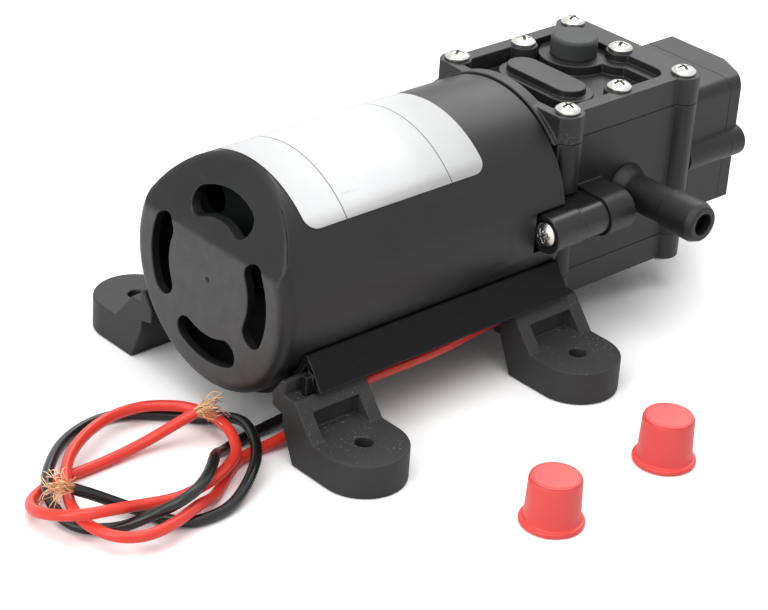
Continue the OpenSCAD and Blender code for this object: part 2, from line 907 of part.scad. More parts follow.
// Pump body, with its chamber and its port passages
recess_r = diaphragm_d / 2 + snug;
passage_x = 14.6;
passage_y = 17.5;
passage_r = 2;
throat_r = 2.4;
sense_r = 1.2;
hole_spare = 1;
body_hole_depth = screw_grip + hole_spare;
switch_screw_in = 5.8;
ear_floor = 1;
module port_inside(s) {
    x = head_cx + port_x;
    scale([1, s, 1])
        bar_y(x, passage_y, throat_r, head_half_w - passage_y + over);
    bar_x(x, passage_r, passage_x - port_x, s * passage_y);
    post(head_cx + passage_x, s * passage_y, axis_z - head_half_h - over,
        passage_r, 2 * (head_half_h + over));
}
module pump_body() {
    color(black_plastic)
    difference() {
        union() {
            translate([head_cx, 0, axis_z - head_half_h])
                linear_extrude(2 * head_half_h)
                    head_plan_2d();
            section_x(x_adapter, body_ear_len)
                ears_2d(head_half_w / 2, ear_r + ear_step);
        }
        post(head_cx, 0, axis_z - head_half_h - over, chamber_d / 2, 2 * (head_half_h + over));
        for (m = [0, 1])
            translate([head_cx, 0, axis_z])
                mirror([0, 0, m])
                    translate([0, 0, seat_h])
                        cylinder(r = recess_r, h = head_half_h);
        bar_x(x_head - over, spigot_r + snug, head_cx - x_head + over);
        block(x_head - over, x_adapter, -sleeve_d, sleeve_d, axis_z - ear_r - snug, axis_z + ear_r + snug);
        for (s = [-1, 1])
            port_inside(s);
        bar_y(head_cx + passage_x, -passage_y, sense_r, passage_y - sense_y);
        sense_channel();
        ear_holes(x_adapter - over, body_ear_len - ear_floor + over);
        for (p = cover_screws, m = [0, 1])
            translate([head_cx + p[0], p[1], axis_z])
                mirror([0, 0, m])
                    translate([0, 0, head_half_h - body_hole_depth])
                        cylinder(r = screw_hole_r, h = body_hole_depth + over);
        for (y = switch_screw_ys)
            bar_x(x_head_end - switch_screw_in, screw_hole_r, switch_screw_in + over, y);
    }
}

// Passage that carries the outlet's pressure to the switch
sense_y = 4.5;
module sense_channel() {
    x = head_cx + passage_x - sense_r;
    bar_x(x, sense_r, x_head_end - x + over, -sense_y);
}

// Ports on the near and far sides: a neck on the body's side with a hose tail at its end
tail_bevel = 2;
bevel_drop = 0.9;
port_root_r = 6.2;
port_root_len = 4;
module port(s) {
    x = head_cx + port_x;
    color(black_plastic)
    scale([1, s, 1])
        difference() {
            union() {
                bar_y(x, head_half_w, neck_d / 2, port_reach - tail_len - head_half_w);
                bar_y(x, head_half_w, port_root_r, port_root_len, neck_d / 2);
                bar_y(x, port_reach - tail_len, tail_d / 2, tail_len - tail_bevel);
                bar_y(x, port_reach - tail_bevel, tail_d / 2, tail_bevel, tail_d / 2 - bevel_drop);
            }
            bar_y(x, head_half_w - over, port_bore_d / 2, port_reach - head_half_w + 2 * over);
        }
}
module outlet_port() { port(-1); }
module inlet_port() { port(1); }

// A pump head cover, standing on the face that it meets, with its outside up
rim_w = 4;
motor_rim_w = 2.9;
switch_rim_w = 7.7;
recess_floor = 2.5;
ledge_h = 5;
ledge_w = 3;
screw_land_r = 3.7;
arch_out = 0.5;
arch_r = sleeve_r + arch_out;
arch_in = can_r + slip;
arch_t = 3.3;
arch_sink = 1;
pad_len = 24;
pad_wide = 8.6;
pad_base = 2;
pad_drop = 0.2;
pad_top = cover_h - pad_drop;
pad_x = -8.4;
plug_x = 10;
plug_y = 8.5;
plug_land_r = 9;
chamber_gap = 1;
chamber_depth = 0.8;
gasket_t = 0.6;
gasket_w = 1.5;
gasket_bar_in = 1;
channel_reach = 4;
recess_corner = 4;
screw_turn = 35;
module recess_2d(rim_end) {
    x0 = -(x_head_end - x_head) / 2 + motor_rim_w;
    x1 = (x_head_end - x_head) / 2 - rim_end;
    y = head_half_w - rim_w;
    corner = recess_corner;
    difference() {
        union() {
            translate([x0, -y])
                square([x1 - x0 - corner, 2 * y]);
            translate([x0, -y + corner])
                square([x1 - x0, 2 * (y - corner)]);
            for (s = [-1, 1])
                translate([x1 - corner, s * (y - corner)])
                    circle(corner);
        }
        for (p = cover_screws)
            translate(p)
                circle(screw_land_r);
    }
}
// The arch on a cover's motor side, which follows the sleeve's end between two places along X
module arch(x0, x1, r_in) {
    translate([x0 - head_cx, 0, -head_half_h])
        rotate([90, 0, 90])
            linear_extrude(x1 - x0)
                intersection() {
                    ring_2d(arch_r, r_in);
                    translate([-head_half_w, head_half_h])
                        square([2 * head_half_w, sleeve_d]);
                }
}
module cover(with_plug) {
    difference() {
        union() {
            linear_extrude(cover_h)
                head_plan_2d();
            arch(x_front + slip, x_head, arch_in);
            arch(x_head, x_front + slip + arch_t, head_half_h + cover_h - arch_sink);
        }
        translate([0, 0, ledge_h])
            linear_extrude(cover_h)
                recess_2d(switch_rim_w);
        translate([0, 0, recess_floor])
            linear_extrude(cover_h)
                difference() {
                    recess_2d(switch_rim_w + ledge_w);
                    translate([end_screw_x, 0])
                        circle(screw_land_r + ledge_w);
                    translate([pad_x, 0])
                        stadium_2d(pad_wide + 2 * pad_base, pad_len + 2 * pad_base);
                    if (with_plug)
                        translate([plug_x, plug_y])
                            circle(plug_land_r);
                }
        for (p = cover_screws)
            translate([p[0], p[1], -over])
                cylinder(r = screw_r + slip / 2, h = cover_h + 2 * over);
        translate([0, 0, -over])
            cylinder(r = recess_r, h = gasket_t + over);
        for (s = [-1, 1])
            translate([0, 0, -over])
                linear_extrude(gasket_t + chamber_depth + over)
                    chamber_2d(s);
    }
    translate([pad_x, 0, ledge_h])
        linear_extrude(pad_top - ledge_h)
            stadium_2d(pad_wide, pad_len);
}

// The space over one pair of valves, with its way to the port passage
module chamber_2d(s) {
    r = diaphragm_d / 2 - gasket_w;
    intersection() {
        circle(r);
        translate([-r, s > 0 ? chamber_gap : -r])
            square([2 * r, r - chamber_gap]);
    }
    translate([passage_x - 2 * passage_r - channel_reach, s > 0 ? r / 2 : -passage_y - passage_r])
        square([3 * passage_r + channel_reach, passage_y + passage_r - r / 2]);
}
module top_cover() {
    color(black_plastic)
    translate([head_cx, 0, axis_z + head_half_h])
        cover(true);
}
module bottom_cover() {
    color(black_plastic)
    translate([head_cx, 0, axis_z - head_half_h])
        mirror([0, 0, 1])
            cover(false);
}

// The seven screws of a cover
module cover_screw_set() {
    for (i = [0:len(cover_screws) - 1])
        translate([cover_screws[i][0], cover_screws[i][1], cover_h])
            rotate(screw_turn * i)
                pan_screw(cover_screw_len);
}
module top_screws() {
    color(bright_steel)
    translate([head_cx, 0, axis_z + head_half_h])
        cover_screw_set();
}
module bottom_screws() {
    color(bright_steel)
    translate([head_cx, 0, axis_z - head_half_h])
        mirror([0, 0, 1])
            cover_screw_set();
}

// Rubber plug on the top cover
plug_r = 6;
plug_h = 5;
plug_round = 1;
module bypass_plug() {
    color(grey_rubber)
    translate([head_cx + plug_x, plug_y, axis_z + head_half_h + ledge_h]) {
        cylinder(r = plug_r, h = plug_h - plug_round);
        cylinder(r = plug_r - plug_round, h = plug_h);
        translate([0, 0, plug_h - plug_round])
            rotate_extrude()
                translate([plug_r - plug_round, 0])
                    circle(plug_round);
    }
}

// Diaphragm: a flat rim held in the body, with its middle pushed out by the throw
fold_in = 0.5;
module diaphragm(lift) {
    r_out = diaphragm_d / 2;
    r_flat = pad_r + fold_in;
    r_fold = chamber_d / 2 - fold_in;
    r_in = neck_r + slip;
    rotate_extrude()
        polygon([
            [r_in, lift], [r_flat, lift], [r_fold, 0], [r_out, 0],
            [r_out, diaphragm_t], [r_fold, diaphragm_t],
            [r_flat, lift + diaphragm_t], [r_in, lift + diaphragm_t]
        ]);
}
module upper_diaphragm() {
    color(black_rubber)
    translate([head_cx, 0, axis_z + seat_h])
        diaphragm(throw);
}
module lower_diaphragm() {
    color(black_rubber)
    translate([head_cx, 0, axis_z - seat_h])
        mirror([0, 0, 1])
            diaphragm(-throw);
}

// Valve plate: it clamps the diaphragm's rim and holds an inlet and an outlet valve
valve_y = 6.5;
valve_r = 4;
valve_t = 0.6;
valve_lift = 0.8;
valve_spare = 0.2;
valve_pocket = valve_t + valve_lift + valve_spare;
valve_port_r = 2;
module valve_plate() {
    h0 = seat_h + diaphragm_t;
    difference() {
        translate([0, 0, h0])
            cylinder(r = diaphragm_d / 2, h = head_half_h - h0);
        translate([0, 0, h0 - over])
            cylinder(r = chamber_d / 2, h = valve_face - h0 + over);
        for (s = [-1, 1])
            translate([0, s * valve_y, 0])
                cylinder(r = valve_port_r, h = head_half_h + over);
        translate([0, -valve_y, head_half_h - valve_pocket])
            cylinder(r = valve_r + slip, h = valve_pocket + over);
        translate([0, valve_y, valve_face - over])
            cylinder(r = valve_r + slip, h = valve_pocket + over);
    }
}
module upper_valve_plate() {
    color([0.85, 0.85, 0.82])
    translate([head_cx, 0, axis_z])
        valve_plate();
}
module lower_valve_plate() {
    color([0.85, 0.85, 0.82])
    translate([head_cx, 0, axis_z])
        mirror([0, 0, 1])
            valve_plate();
}

// Rubber valve discs: the inlet valve opens inwards, the outlet valve outwards
module inlet_valve() {
    translate([0, valve_y, valve_face + valve_pocket - valve_t - snug])
        cylinder(r = valve_r, h = valve_t);
}
module outlet_valve() {
    translate([0, -valve_y, head_half_h - valve_pocket + snug])
        cylinder(r = valve_r, h = valve_t);
}
module valve_side(m) {
    color([0.35, 0.20, 0.16])
    translate([head_cx, 0, axis_z])
        mirror([0, 0, m])
            children();
}
module upper_inlet_valve() { valve_side(0) inlet_valve(); }
module upper_outlet_valve() { valve_side(0) outlet_valve(); }
module lower_inlet_valve() { valve_side(1) inlet_valve(); }
module lower_outlet_valve() { valve_side(1) outlet_valve(); }

// Gasket between a valve plate and its cover, with a bar between inlet and outlet
module gasket() {
    linear_extrude(gasket_t) {
        ring_2d(diaphragm_d / 2, diaphragm_d / 2 - gasket_w);
        square([diaphragm_d - 2 * gasket_bar_in, 2 * chamber_gap], center = true);
    }
}
module upper_gasket() {
    color(black_rubber)
    translate([head_cx, 0, axis_z + head_half_h])
        gasket();
}
module lower_gasket() {
    color(black_rubber)
    translate([head_cx, 0, axis_z - head_half_h])
        mirror([0, 0, 1])
            gasket();
}

// Pressure switch box, with a screw tunnel along each side
tunnel_r = 4.2;
tunnel_end = 3.8;
tunnel_in = 1.3;
near_tunnel_y = -switch_near + tunnel_in;
far_tunnel_y = switch_far - tunnel_in;
switch_screw_ys = [near_tunnel_y, far_tunnel_y];
switch_z0 = axis_z - switch_down;
switch_z1 = axis_z + head_half_h;
switch_back_t = 3;
shelf_h = 8;
shelf_z = switch_z0 + shelf_h;
sense_pocket = 3;
sense_drop = 1.8;
sense_z = shelf_z - sense_drop;
stem_shift = 1;
stem_x = (x_head_end + x_seam) / 2 + stem_shift;
stem_y = -sense_y;
stem_r = 2;
switch_diaphragm_r = 5.6;
switch_diaphragm_t = 1;
plunger_r = 4.4;
plunger_t = 2;
plunger_z = shelf_z + switch_diaphragm_t + snug;
bridge_up = 7;
bridge_z = axis_z + bridge_up;
bridge_t = 2;
stem_show = 0.4;
stem_top = bridge_z + bridge_t + stem_show;
pocket_in = 2;
end_wall_spare = 0.5;
screw_tip_gap = 0.5;
module tunnels(x, len, r) {
    for (y = switch_screw_ys)
        bar_x(x, r, len, y);
}
switch_round = 3.5;
module switch_section_2d() {
    z0 = switch_z0 - axis_z;
    z1 = switch_z1 - axis_z;
    translate([-switch_near + switch_round, z0])
        square([switch_near + switch_far - switch_round, z1 - z0]);
    translate([-switch_near, z0])
        square([2 * switch_round, z1 - z0 - switch_round]);
    translate([-switch_near + switch_round, z1 - switch_round])
        circle(switch_round);
}
module switch_housing() {
    x_in = x_head_end + switch_back_t;
    cavity_y0 = -switch_near + switch_wall;
    cavity_y1 = switch_far - switch_wall;
    color(black_plastic)
    difference() {
        union() {
            difference() {
                section_x(x_head_end, switch_len)
                    switch_section_2d();
                block(x_in, x_seam + over, cavity_y0, cavity_y1, shelf_z, bridge_z);
                block(x_in, x_seam + over, cavity_y0, cavity_y1,
                    bridge_z + bridge_t, switch_z1 - switch_wall);
            }
            tunnels(x_head_end, switch_len, tunnel_r);
        }
        tunnels(x_head_end - over, switch_len + 2 * over, screw_r + slip / 2);
        post(stem_x, stem_y, bridge_z - over, stem_r + slip, bridge_t + 2 * over);
        post(stem_x, stem_y, shelf_z - sense_pocket, switch_diaphragm_r - pocket_in, sense_pocket + over);
        block(x_head_end - over, x_head_end + sense_r, stem_y - sense_r, stem_y + sense_r,
            sense_z - sense_r, axis_z + sense_r);
        bar_x(x_head_end - over, sense_r, stem_x - x_head_end + over, stem_y, sense_z - axis_z);
    }
}

// Plan of the switch's end cover: its near corner is cut back
corner_run = 10.5;
corner_cut = 5;
module switch_cover_2d(inset, end_wall) {
    open = inset > 0 ? over : 0;
    polygon([
        [-open, -switch_near + inset],
        [switch_cover_len - corner_cut - end_wall, -switch_near + inset],
        [switch_cover_len - end_wall, -switch_near + corner_run + inset / 2],
        [switch_cover_len - end_wall, switch_far - inset],
        [-open, switch_far - inset]
    ]);
}
module switch_cover() {
    color(black_plastic)
    difference() {
        union() {
            difference() {
                intersection() {
                    translate([x_seam, 0, switch_z0 - over])
                        linear_extrude(switch_z1 - switch_z0 + 2 * over)
                            switch_cover_2d(0, 0);
                    section_x(x_seam - over, switch_cover_len + 2 * over)
                        switch_section_2d();
                }
                translate([x_seam, 0, switch_z0 + switch_wall])
                    linear_extrude(switch_z1 - switch_z0 - 2 * switch_wall)
                        switch_cover_2d(switch_wall, tunnel_end + end_wall_spare);
            }
            tunnels(x_seam, switch_cover_len - tunnel_end, tunnel_r);
        }
        tunnels(x_seam - over, switch_cover_len + 2 * over, screw_r + slip / 2);
        tunnels(x_seam + switch_cover_len - tunnel_end, switch_cover_len, screw_head_r + slip);
    }
}

// Screws along the tunnels into the pump body
module switch_screws() {
    color(bright_steel)
    for (y = switch_screw_ys)
        translate([x_switch_end - tunnel_end, y, axis_z])
            rotate([0, 90, 0])
                pan_screw(switch_len + switch_cover_len - tunnel_end + switch_screw_in - screw_tip_gap);
}

// Small diaphragm that the outlet's pressure lifts
module switch_diaphragm() {
    color(black_rubber)
    post(stem_x, stem_y, shelf_z, switch_diaphragm_r, switch_diaphragm_t);
}

// Plunger on the diaphragm, its stem reaching through the bridge
module switch_plunger() {
    color([0.85, 0.85, 0.82]) {
        post(stem_x, stem_y, plunger_z, plunger_r, plunger_t);
        post(stem_x, stem_y, plunger_z, stem_r, stem_top - plunger_z);
    }
}

// Spring round the stem, between the plunger and the bridge
spring_clear = 0.6;
spring_t = 1;
spring_in = stem_r + spring_clear;
spring_out = spring_in + spring_t;
module switch_spring() {
    z0 = plunger_z + plunger_t + snug;
    color(bright_steel)
    difference() {
        post(stem_x, stem_y, z0, spring_out, bridge_z - snug - z0);
        post(stem_x, stem_y, z0 - over, spring_in, bridge_z - z0 + 2 * over);
    }
}

// Microswitch above the bridge, with the button that the stem pushes
micro_l = 11;
micro_w = 6.5;
button_r = 1.2;
button_show = 1.2;
button_in = 1;
micro_z = stem_top + slip + button_show;
module microswitch() {
    color([0.16, 0.16, 0.18])
    difference() {
        block(stem_x - micro_l / 2, stem_x + micro_l / 2, stem_y - micro_w / 2, stem_y + micro_w / 2,
            micro_z, switch_z1 - switch_wall);
        post(stem_x, stem_y, micro_z - over, button_r + slip / 2, over + button_in + switch_travel + slip);
    }
}
module microswitch_button() {
    color([0.80, 0.15, 0.12])
    post(stem_x, stem_y, stem_top + slip, button_r, button_show + button_in);
}

// Grommet where the leads leave the motor: a plug through the wall with an elbow that faces back
barrel_len = 8;
barrel_at = trough_out + barrel_r + snug;
module lead_grommet() {
    color(black_rubber) {
        at_grommet()
            translate([0, 0, can_in])
                cylinder(r = grommet_r, h = barrel_at - can_in);
        at_grommet()
            translate([grommet_r - barrel_len, 0, barrel_at])
                rotate([0, 90, 0])
                    cylinder(r = barrel_r, h = barrel_len);
    }
}

// Leads: each leaves the elbow, runs back under the plate and goes round an oval on the floor
loop_centre = [-72, -14];
loop_long = 27;
loop_short = 18;
loop_tilt = 33;
loop_step = 15;

// A point of a loop: the angle falls as the lead goes round, and lists give its spread and height there
function loop_point(a, spread, height) =
    let (
        s = lookup(a, spread),
        u = s * loop_long * cos(a),
        v = s * loop_short * sin(a)
    )
    [
        loop_centre[0] + u * cos(loop_tilt) - v * sin(loop_tilt),
        loop_centre[1] + u * sin(loop_tilt) + v * cos(loop_tilt),
        lookup(a, height)
    ];
function loops(from, to, spread, height) =
    [for (a = [from:-loop_step:to]) loop_point(a, spread, height)];

exit_x = grommet_x + grommet_r - barrel_len;
exit_gap = 1.8;
exit_y = -barrel_at * sin(grommet_angle);
exit_z = axis_z - barrel_at * cos(grommet_angle);
red_exit = [exit_x, exit_y - exit_gap * cos(grommet_angle), exit_z + exit_gap * sin(grommet_angle)];
black_exit = [exit_x, exit_y + exit_gap * cos(grommet_angle), exit_z - exit_gap * sin(grommet_angle)];
exit_run = [-6, 0, 0];

red_spread = [
    [-90, 0.95], [-105, 0.98], [-120, 1.05], [-150, 1.22], [-165, 1.22], [-195, 1.09], [-225, 0.96],
    [-300, 0.91], [-345, 0.83], [-375, 0.85], [-405, 0.93], [-435, 1.02], [-450, 0.97], [-480, 0.84],
    [-495, 0.80]
];
red_height = [
    [-90, 1.4], [-105, 1.7], [-120, 4.6], [-390, 4.6], [-450, 5.1], [-465, 5.1], [-480, 4.9]
];
red_route = concat(
    [red_exit, red_exit + exit_run],
    [
        [12, -24, 11], [0, -25, 11], [-10, -25, 11], [-19, -24.3, 10.5], [-28, -23.8, 7.5],
        [-35, -23.4, 4.6], [-42, -22.5, 2.1], [-48, -22, 1.4], [-55, -23, 1.4]
    ],
    loops(-90, -495, red_spread, red_height),
    [
        [-86, -29, 5.3], [-91, -29.4, 6.7], [-95.5, -29.4, 7.7], [-99.5, -28.4, 7.9], [-102.5, -25.8, 7.4],
        [-104, -22, 6.2], [-104.3, -17.5, 4.6], [-103, -13, 3], [-100, -9.3, 1.9], [-95.5, -7, 1.4],
        [-91, -6, 1.4], [-86, -6, 1.4], [-79, -6, 1.4], [-70, -6, 2.1], [-64, -7, 4], [-60, -8.5, 6.2],
        [-56, -9.5, 7.9]
    ]
);

black_spread = [
    [-105, 0.93], [-120, 1.03], [-135, 1.05], [-150, 0.97], [-165, 0.93], [-180, 0.94], [-210, 1.12],
    [-225, 1.17], [-255, 1.14], [-285, 1.20], [-300, 1.15], [-330, 0.92], [-345, 0.87], [-360, 0.87],
    [-375, 0.92], [-405, 1.14], [-435, 1.27], [-450, 1.27], [-465, 1.25], [-480, 1.12]
];
black_height = [
    [-105, 8.4], [-120, 8.3], [-135, 7.6], [-150, 5.3], [-165, 2.8], [-180, 1.4], [-207, 1.4], [-225, 4.4],
    [-235, 4.6], [-250, 4.6], [-285, 1.6], [-300, 1.4], [-375, 1.4], [-405, 4.6], [-435, 4.6],
    [-465, 1.6], [-480, 1.4]
];
black_route = concat(
    [black_exit, black_exit + exit_run],
    [
        [10, -21, 8.6], [0, -21, 8.4], [-10, -20.8, 8], [-19, -20.3, 7], [-28, -18.3, 4.8],
        [-38, -16, 2], [-45, -16, 1.4], [-50.5, -16.8, 1.4], [-55.5, -19.2, 2.3], [-60, -22.6, 5.3],
        [-64.5, -27.2, 8.1]
    ],
    loops(-105, -480, black_spread, black_height),
    [
        [-79, -35, 1.4], [-81.6, -31.5, 1.4], [-83, -27.7, 1.4], [-85.5, -24.3, 2.1], [-89, -21.9, 4],
        [-92.9, -20.2, 6.3], [-96, -18.8, 7.9]
    ]
);

// A tube through the points of a route, with a radius for each point
tube_sides = 8;
function unit(v) = v / norm(v);
function heading(p, i) = unit(p[min(i + 1, len(p) - 1)] - p[max(i - 1, 0)]);
function ring_points(p, i, r) =
    let (
        ahead = heading(p, i),
        side = unit(cross(ahead, [0, 0, 1])),
        up = cross(side, ahead)
    )
    [for (k = [0:tube_sides - 1]) let (a = 360 * k / tube_sides) p[i] + r * (cos(a) * side + sin(a) * up)];
module tube(p, radii) {
    n = len(p);
    points = [for (i = [0:n - 1]) each ring_points(p, i, radii[i])];
    walls = [
        for (i = [0:n - 2], k = [0:tube_sides - 1])
            let (
                a = i * tube_sides + k,
                b = i * tube_sides + (k + 1) % tube_sides
            )
            each [[a, a + tube_sides, b], [b, a + tube_sides, b + tube_sides]]
    ];
    last = (n - 1) * tube_sides;
    ends = [for (k = [1:tube_sides - 2]) each [[0, k, k + 1], [last, last + k + 1, last + k]]];
    polyhedron(points, concat(walls, ends));
}
module lead(p) {
    tube(p, [for (q = p) lead_d / 2]);
}

// The least gap of a route to itself, and of two routes to each other, along points close together
gap_steps = 4;
near_rings = 3;
function close_points(p) =
    [for (i = [0:len(p) - 2], k = [0:gap_steps - 1]) p[i] + (p[i + 1] - p[i]) * k / gap_steps];
function own_gap(p) =
    let (
        q = close_points(p),
        skip = near_rings * gap_steps
    )
    min([for (i = [0:len(q) - 1], j = [i + skip:1:len(q) - 1]) norm(q[i] - q[j])]) - lead_d;
function gap_between(p1, p2) =
    let (
        q1 = close_points(p1),
        q2 = close_points(p2)
    )
    min([for (a = q1, b = q2) norm(a - b)]) - lead_d;
function route_length(p) = [for (i = [0:len(p) - 2]) norm(p[i + 1] - p[i])] * [for (i = [0:len(p) - 2]) 1];

module lead_red() {
    echo(str("red lead: length ", route_length(red_route), ", least gap to itself ", own_gap(red_route)));
    color(lead_red_colour)
    lead(red_route);
}
module lead_black() {
    own = own_gap(black_route);
    echo(str("black lead: length ", route_length(black_route), ", least gap to itself ", own));
    echo(str("least gap between the leads ", gap_between(red_route, black_route)));
    color(black_rubber)
    lead(black_route);
}

// Bare copper, splayed out at the end of a lead
wire_r = 1;
splay_r = 2.6;
module splayed_end(p, turn) {
    n = len(p) - 1;
    ahead = heading(p, n);
    way = unit([ahead[0], ahead[1], 0] + turn);
    ends = [p[n], p[n] + ahead * copper_len / 4, p[n] + ahead * copper_len / 4 + way * copper_len * 3 / 4];
    color(copper)
    tube(ends, [wire_r, wire_r * 1.4, splay_r]);
}
module copper_red() { splayed_end(red_route, [0, -0.3, 0]); }
module copper_black() { splayed_end(black_route, [0, 0.4, 0]); }

// Port caps: hollow cups with a flange, lying with their closed ends up
cap_wall = 1.1;
cap_flange_t = 1.2;
cap_taper = 0.4;
cap_edge = 0.6;
cap_front_at = [26, -78.5];
cap_rear_at = [-13, -81];
module port_cap(at) {
    r_top = cap_top_d / 2;
    r_low = r_top + cap_taper;
    color(cap_red)
    translate([at[0], at[1], 0])
        rotate_extrude()
            polygon([
                [tail_d / 2, 0], [cap_flange_d / 2, 0], [cap_flange_d / 2, cap_flange_t],
                [r_low, cap_flange_t], [r_top, cap_h - cap_edge], [r_top - cap_edge, cap_h],
                [0, cap_h], [0, cap_h - cap_wall], [tail_d / 2 - cap_taper / 2, cap_h - cap_wall]
            ]);
}
module port_cap_front() { port_cap(cap_front_at); }
module port_cap_rear() { port_cap(cap_rear_at); }

motor_sleeve();
rating_label();
base_plate();
base_screws();
foot_rear_near();
foot_rear_far();
foot_front_near();
foot_front_far();
motor_can();
magnets();
brush_board();
brushes();
rear_bearing();
front_bearing();
motor_shaft();
armature_core();
armature_winding();
commutator();
eccentric();
eccentric_bearing();
yoke();
upper_retainer();
lower_retainer();
retainer_screws();
motor_flange();
adapter_plate();
ear_screws();
pump_body();
outlet_port();
inlet_port();
top_cover();
bottom_cover();
top_screws();
bottom_screws();
bypass_plug();
upper_diaphragm();
lower_diaphragm();
upper_valve_plate();
lower_valve_plate();
upper_inlet_valve();
upper_outlet_valve();
lower_inlet_valve();
lower_outlet_valve();
upper_gasket();
lower_gasket();
switch_housing();
switch_cover();
switch_screws();
switch_diaphragm();
switch_plunger();
switch_spring();
microswitch();
microswitch_button();
lead_grommet();
lead_red();
lead_black();
copper_red();
copper_black();
port_cap_front();
port_cap_rear();
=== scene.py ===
# %% [markdown]
# # A caravan water pump, dressed in Blender
# A small diaphragm pump: a motor in a black sleeve, a square head, a switch box, rubber feet, two
# loose leads and two red port caps. Its solids come ready made, each in its place, so this file adds
# what solids lack: the camera, the real leads, the paper label, soft edges, finishes and light.

# %% Load the frame
import math
import random

import bmesh
import bpy
import numpy as np
from mathutils import Matrix, Vector


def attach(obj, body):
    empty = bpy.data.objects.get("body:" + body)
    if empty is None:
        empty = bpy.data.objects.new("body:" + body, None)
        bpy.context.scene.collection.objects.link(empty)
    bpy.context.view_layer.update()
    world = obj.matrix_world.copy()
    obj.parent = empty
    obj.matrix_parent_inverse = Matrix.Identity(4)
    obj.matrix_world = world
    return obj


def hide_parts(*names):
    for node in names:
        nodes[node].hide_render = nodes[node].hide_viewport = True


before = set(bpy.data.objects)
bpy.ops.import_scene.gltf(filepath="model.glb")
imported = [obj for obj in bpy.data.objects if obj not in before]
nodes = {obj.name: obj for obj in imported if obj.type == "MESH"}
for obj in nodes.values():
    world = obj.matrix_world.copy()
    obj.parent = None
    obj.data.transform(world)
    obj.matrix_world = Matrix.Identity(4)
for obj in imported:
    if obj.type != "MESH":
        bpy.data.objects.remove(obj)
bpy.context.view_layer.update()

MM = 0.001

# %% [markdown]
# The camera repeats the photograph's view. It could be placed by eye, but then every comparison with the
# photograph would be a guess. So its place and focal length were worked out from the sleeve, the plate
# and the feet, whose real shapes are simple. A long lens from about 60 cm away keeps the sleeve's two
# ends nearly the same size, as a product photograph does.

# %% Camera
IMAGE_W, IMAGE_H = 768, 610
FOCAL_PX = 2460.8
AZIMUTH, ELEVATION, ROLL = -0.762, 0.500, -0.069
CAMERA_AT = Vector((-352.83, -379.58, 297.30)) * MM
CENTRE_PX = (384.1, 303.76)
SENSOR_W = 36.0
NEAREST, FARTHEST = 0.05, 20

back = Vector((math.sin(AZIMUTH) * math.cos(ELEVATION), -math.cos(AZIMUTH) * math.cos(ELEVATION),
               math.sin(ELEVATION)))
right = (-back).cross(Vector((0, 0, 1))).normalized()
down = (-back).cross(right)
rolled_right = math.cos(ROLL) * right + math.sin(ROLL) * down
rolled_down = -math.sin(ROLL) * right + math.cos(ROLL) * down

lens = bpy.data.cameras.new("photo_camera")
lens.sensor_fit = "HORIZONTAL"
lens.sensor_width = SENSOR_W
lens.lens = FOCAL_PX * SENSOR_W / IMAGE_W
lens.shift_x = (IMAGE_W / 2 - CENTRE_PX[0]) / IMAGE_W
lens.shift_y = (CENTRE_PX[1] - IMAGE_H / 2) / IMAGE_W
lens.clip_start, lens.clip_end = NEAREST, FARTHEST
camera = bpy.data.objects.new("photo_camera", lens)
bpy.context.scene.collection.objects.link(camera)
camera.matrix_world = Matrix.Translation(CAMERA_AT) @ Matrix(
    (rolled_right, -rolled_down, back)).transposed().to_4x4()
bpy.context.scene.camera = camera
print("lens", round(lens.lens, 1), "mm")

# %% [markdown]
# The two leads are soft copper wire in plastic, 2.6 mm thick. They leave an elbow under the motor, run
# back below the plate and lie in an oval coil on the floor, over and under each other. A curve that
# passes through the same points as the solid leads, rounded between them, gives the smooth bends of
# real wire. The coil is a formula: an oval whose width and height change with the angle. A spread row
# pairs an angle with a share of the oval's size, and a height row pairs an angle with the height of the
# wire's middle. The points before and after the coil are plain places.

# %% Routes of the leads, in millimetres
LOOP_CENTRE, LOOP_LONG, LOOP_SHORT = (-72, -14), 27, 18
LOOP_TILT, LOOP_STEP = math.radians(33), 15
RED_TURN, BLACK_TURN = (-90, -495), (-105, -480)
RED_SPREAD = [(-90, .95), (-105, .98), (-120, 1.05), (-150, 1.22), (-165, 1.22), (-195, 1.09), (-225, .96),
              (-300, .91), (-345, .83), (-375, .85), (-405, .93), (-435, 1.02), (-450, .97), (-480, .84),
              (-495, .80)]
RED_HEIGHT = [(-90, 1.4), (-105, 1.7), (-120, 4.6), (-390, 4.6), (-450, 5.1), (-465, 5.1), (-480, 4.9)]
RED_IN = [(27.6, -22.746, 11.077), (21.6, -22.746, 11.077), (12, -24, 11), (0, -25, 11), (-10, -25, 11),
          (-19, -24.3, 10.5), (-28, -23.8, 7.5), (-35, -23.4, 4.6), (-42, -22.5, 2.1), (-48, -22, 1.4),
          (-55, -23, 1.4)]
RED_OUT = [(-86, -29, 5.3), (-91, -29.4, 6.7), (-95.5, -29.4, 7.7), (-99.5, -28.4, 7.9),
           (-102.5, -25.8, 7.4), (-104, -22, 6.2), (-104.3, -17.5, 4.6), (-103, -13, 3), (-100, -9.3, 1.9),
           (-95.5, -7, 1.4), (-91, -6, 1.4), (-86, -6, 1.4), (-79, -6, 1.4), (-70, -6, 2.1), (-64, -7, 4),
           (-60, -8.5, 6.2), (-56, -9.5, 7.9)]
BLACK_SPREAD = [(-105, .93), (-120, 1.03), (-135, 1.05), (-150, .97), (-165, .93), (-180, .94),
                (-210, 1.12), (-225, 1.17), (-255, 1.14), (-285, 1.20), (-300, 1.15), (-330, .92),
                (-345, .87), (-360, .87), (-375, .92), (-405, 1.14), (-435, 1.27), (-450, 1.27),
                (-465, 1.25), (-480, 1.12)]
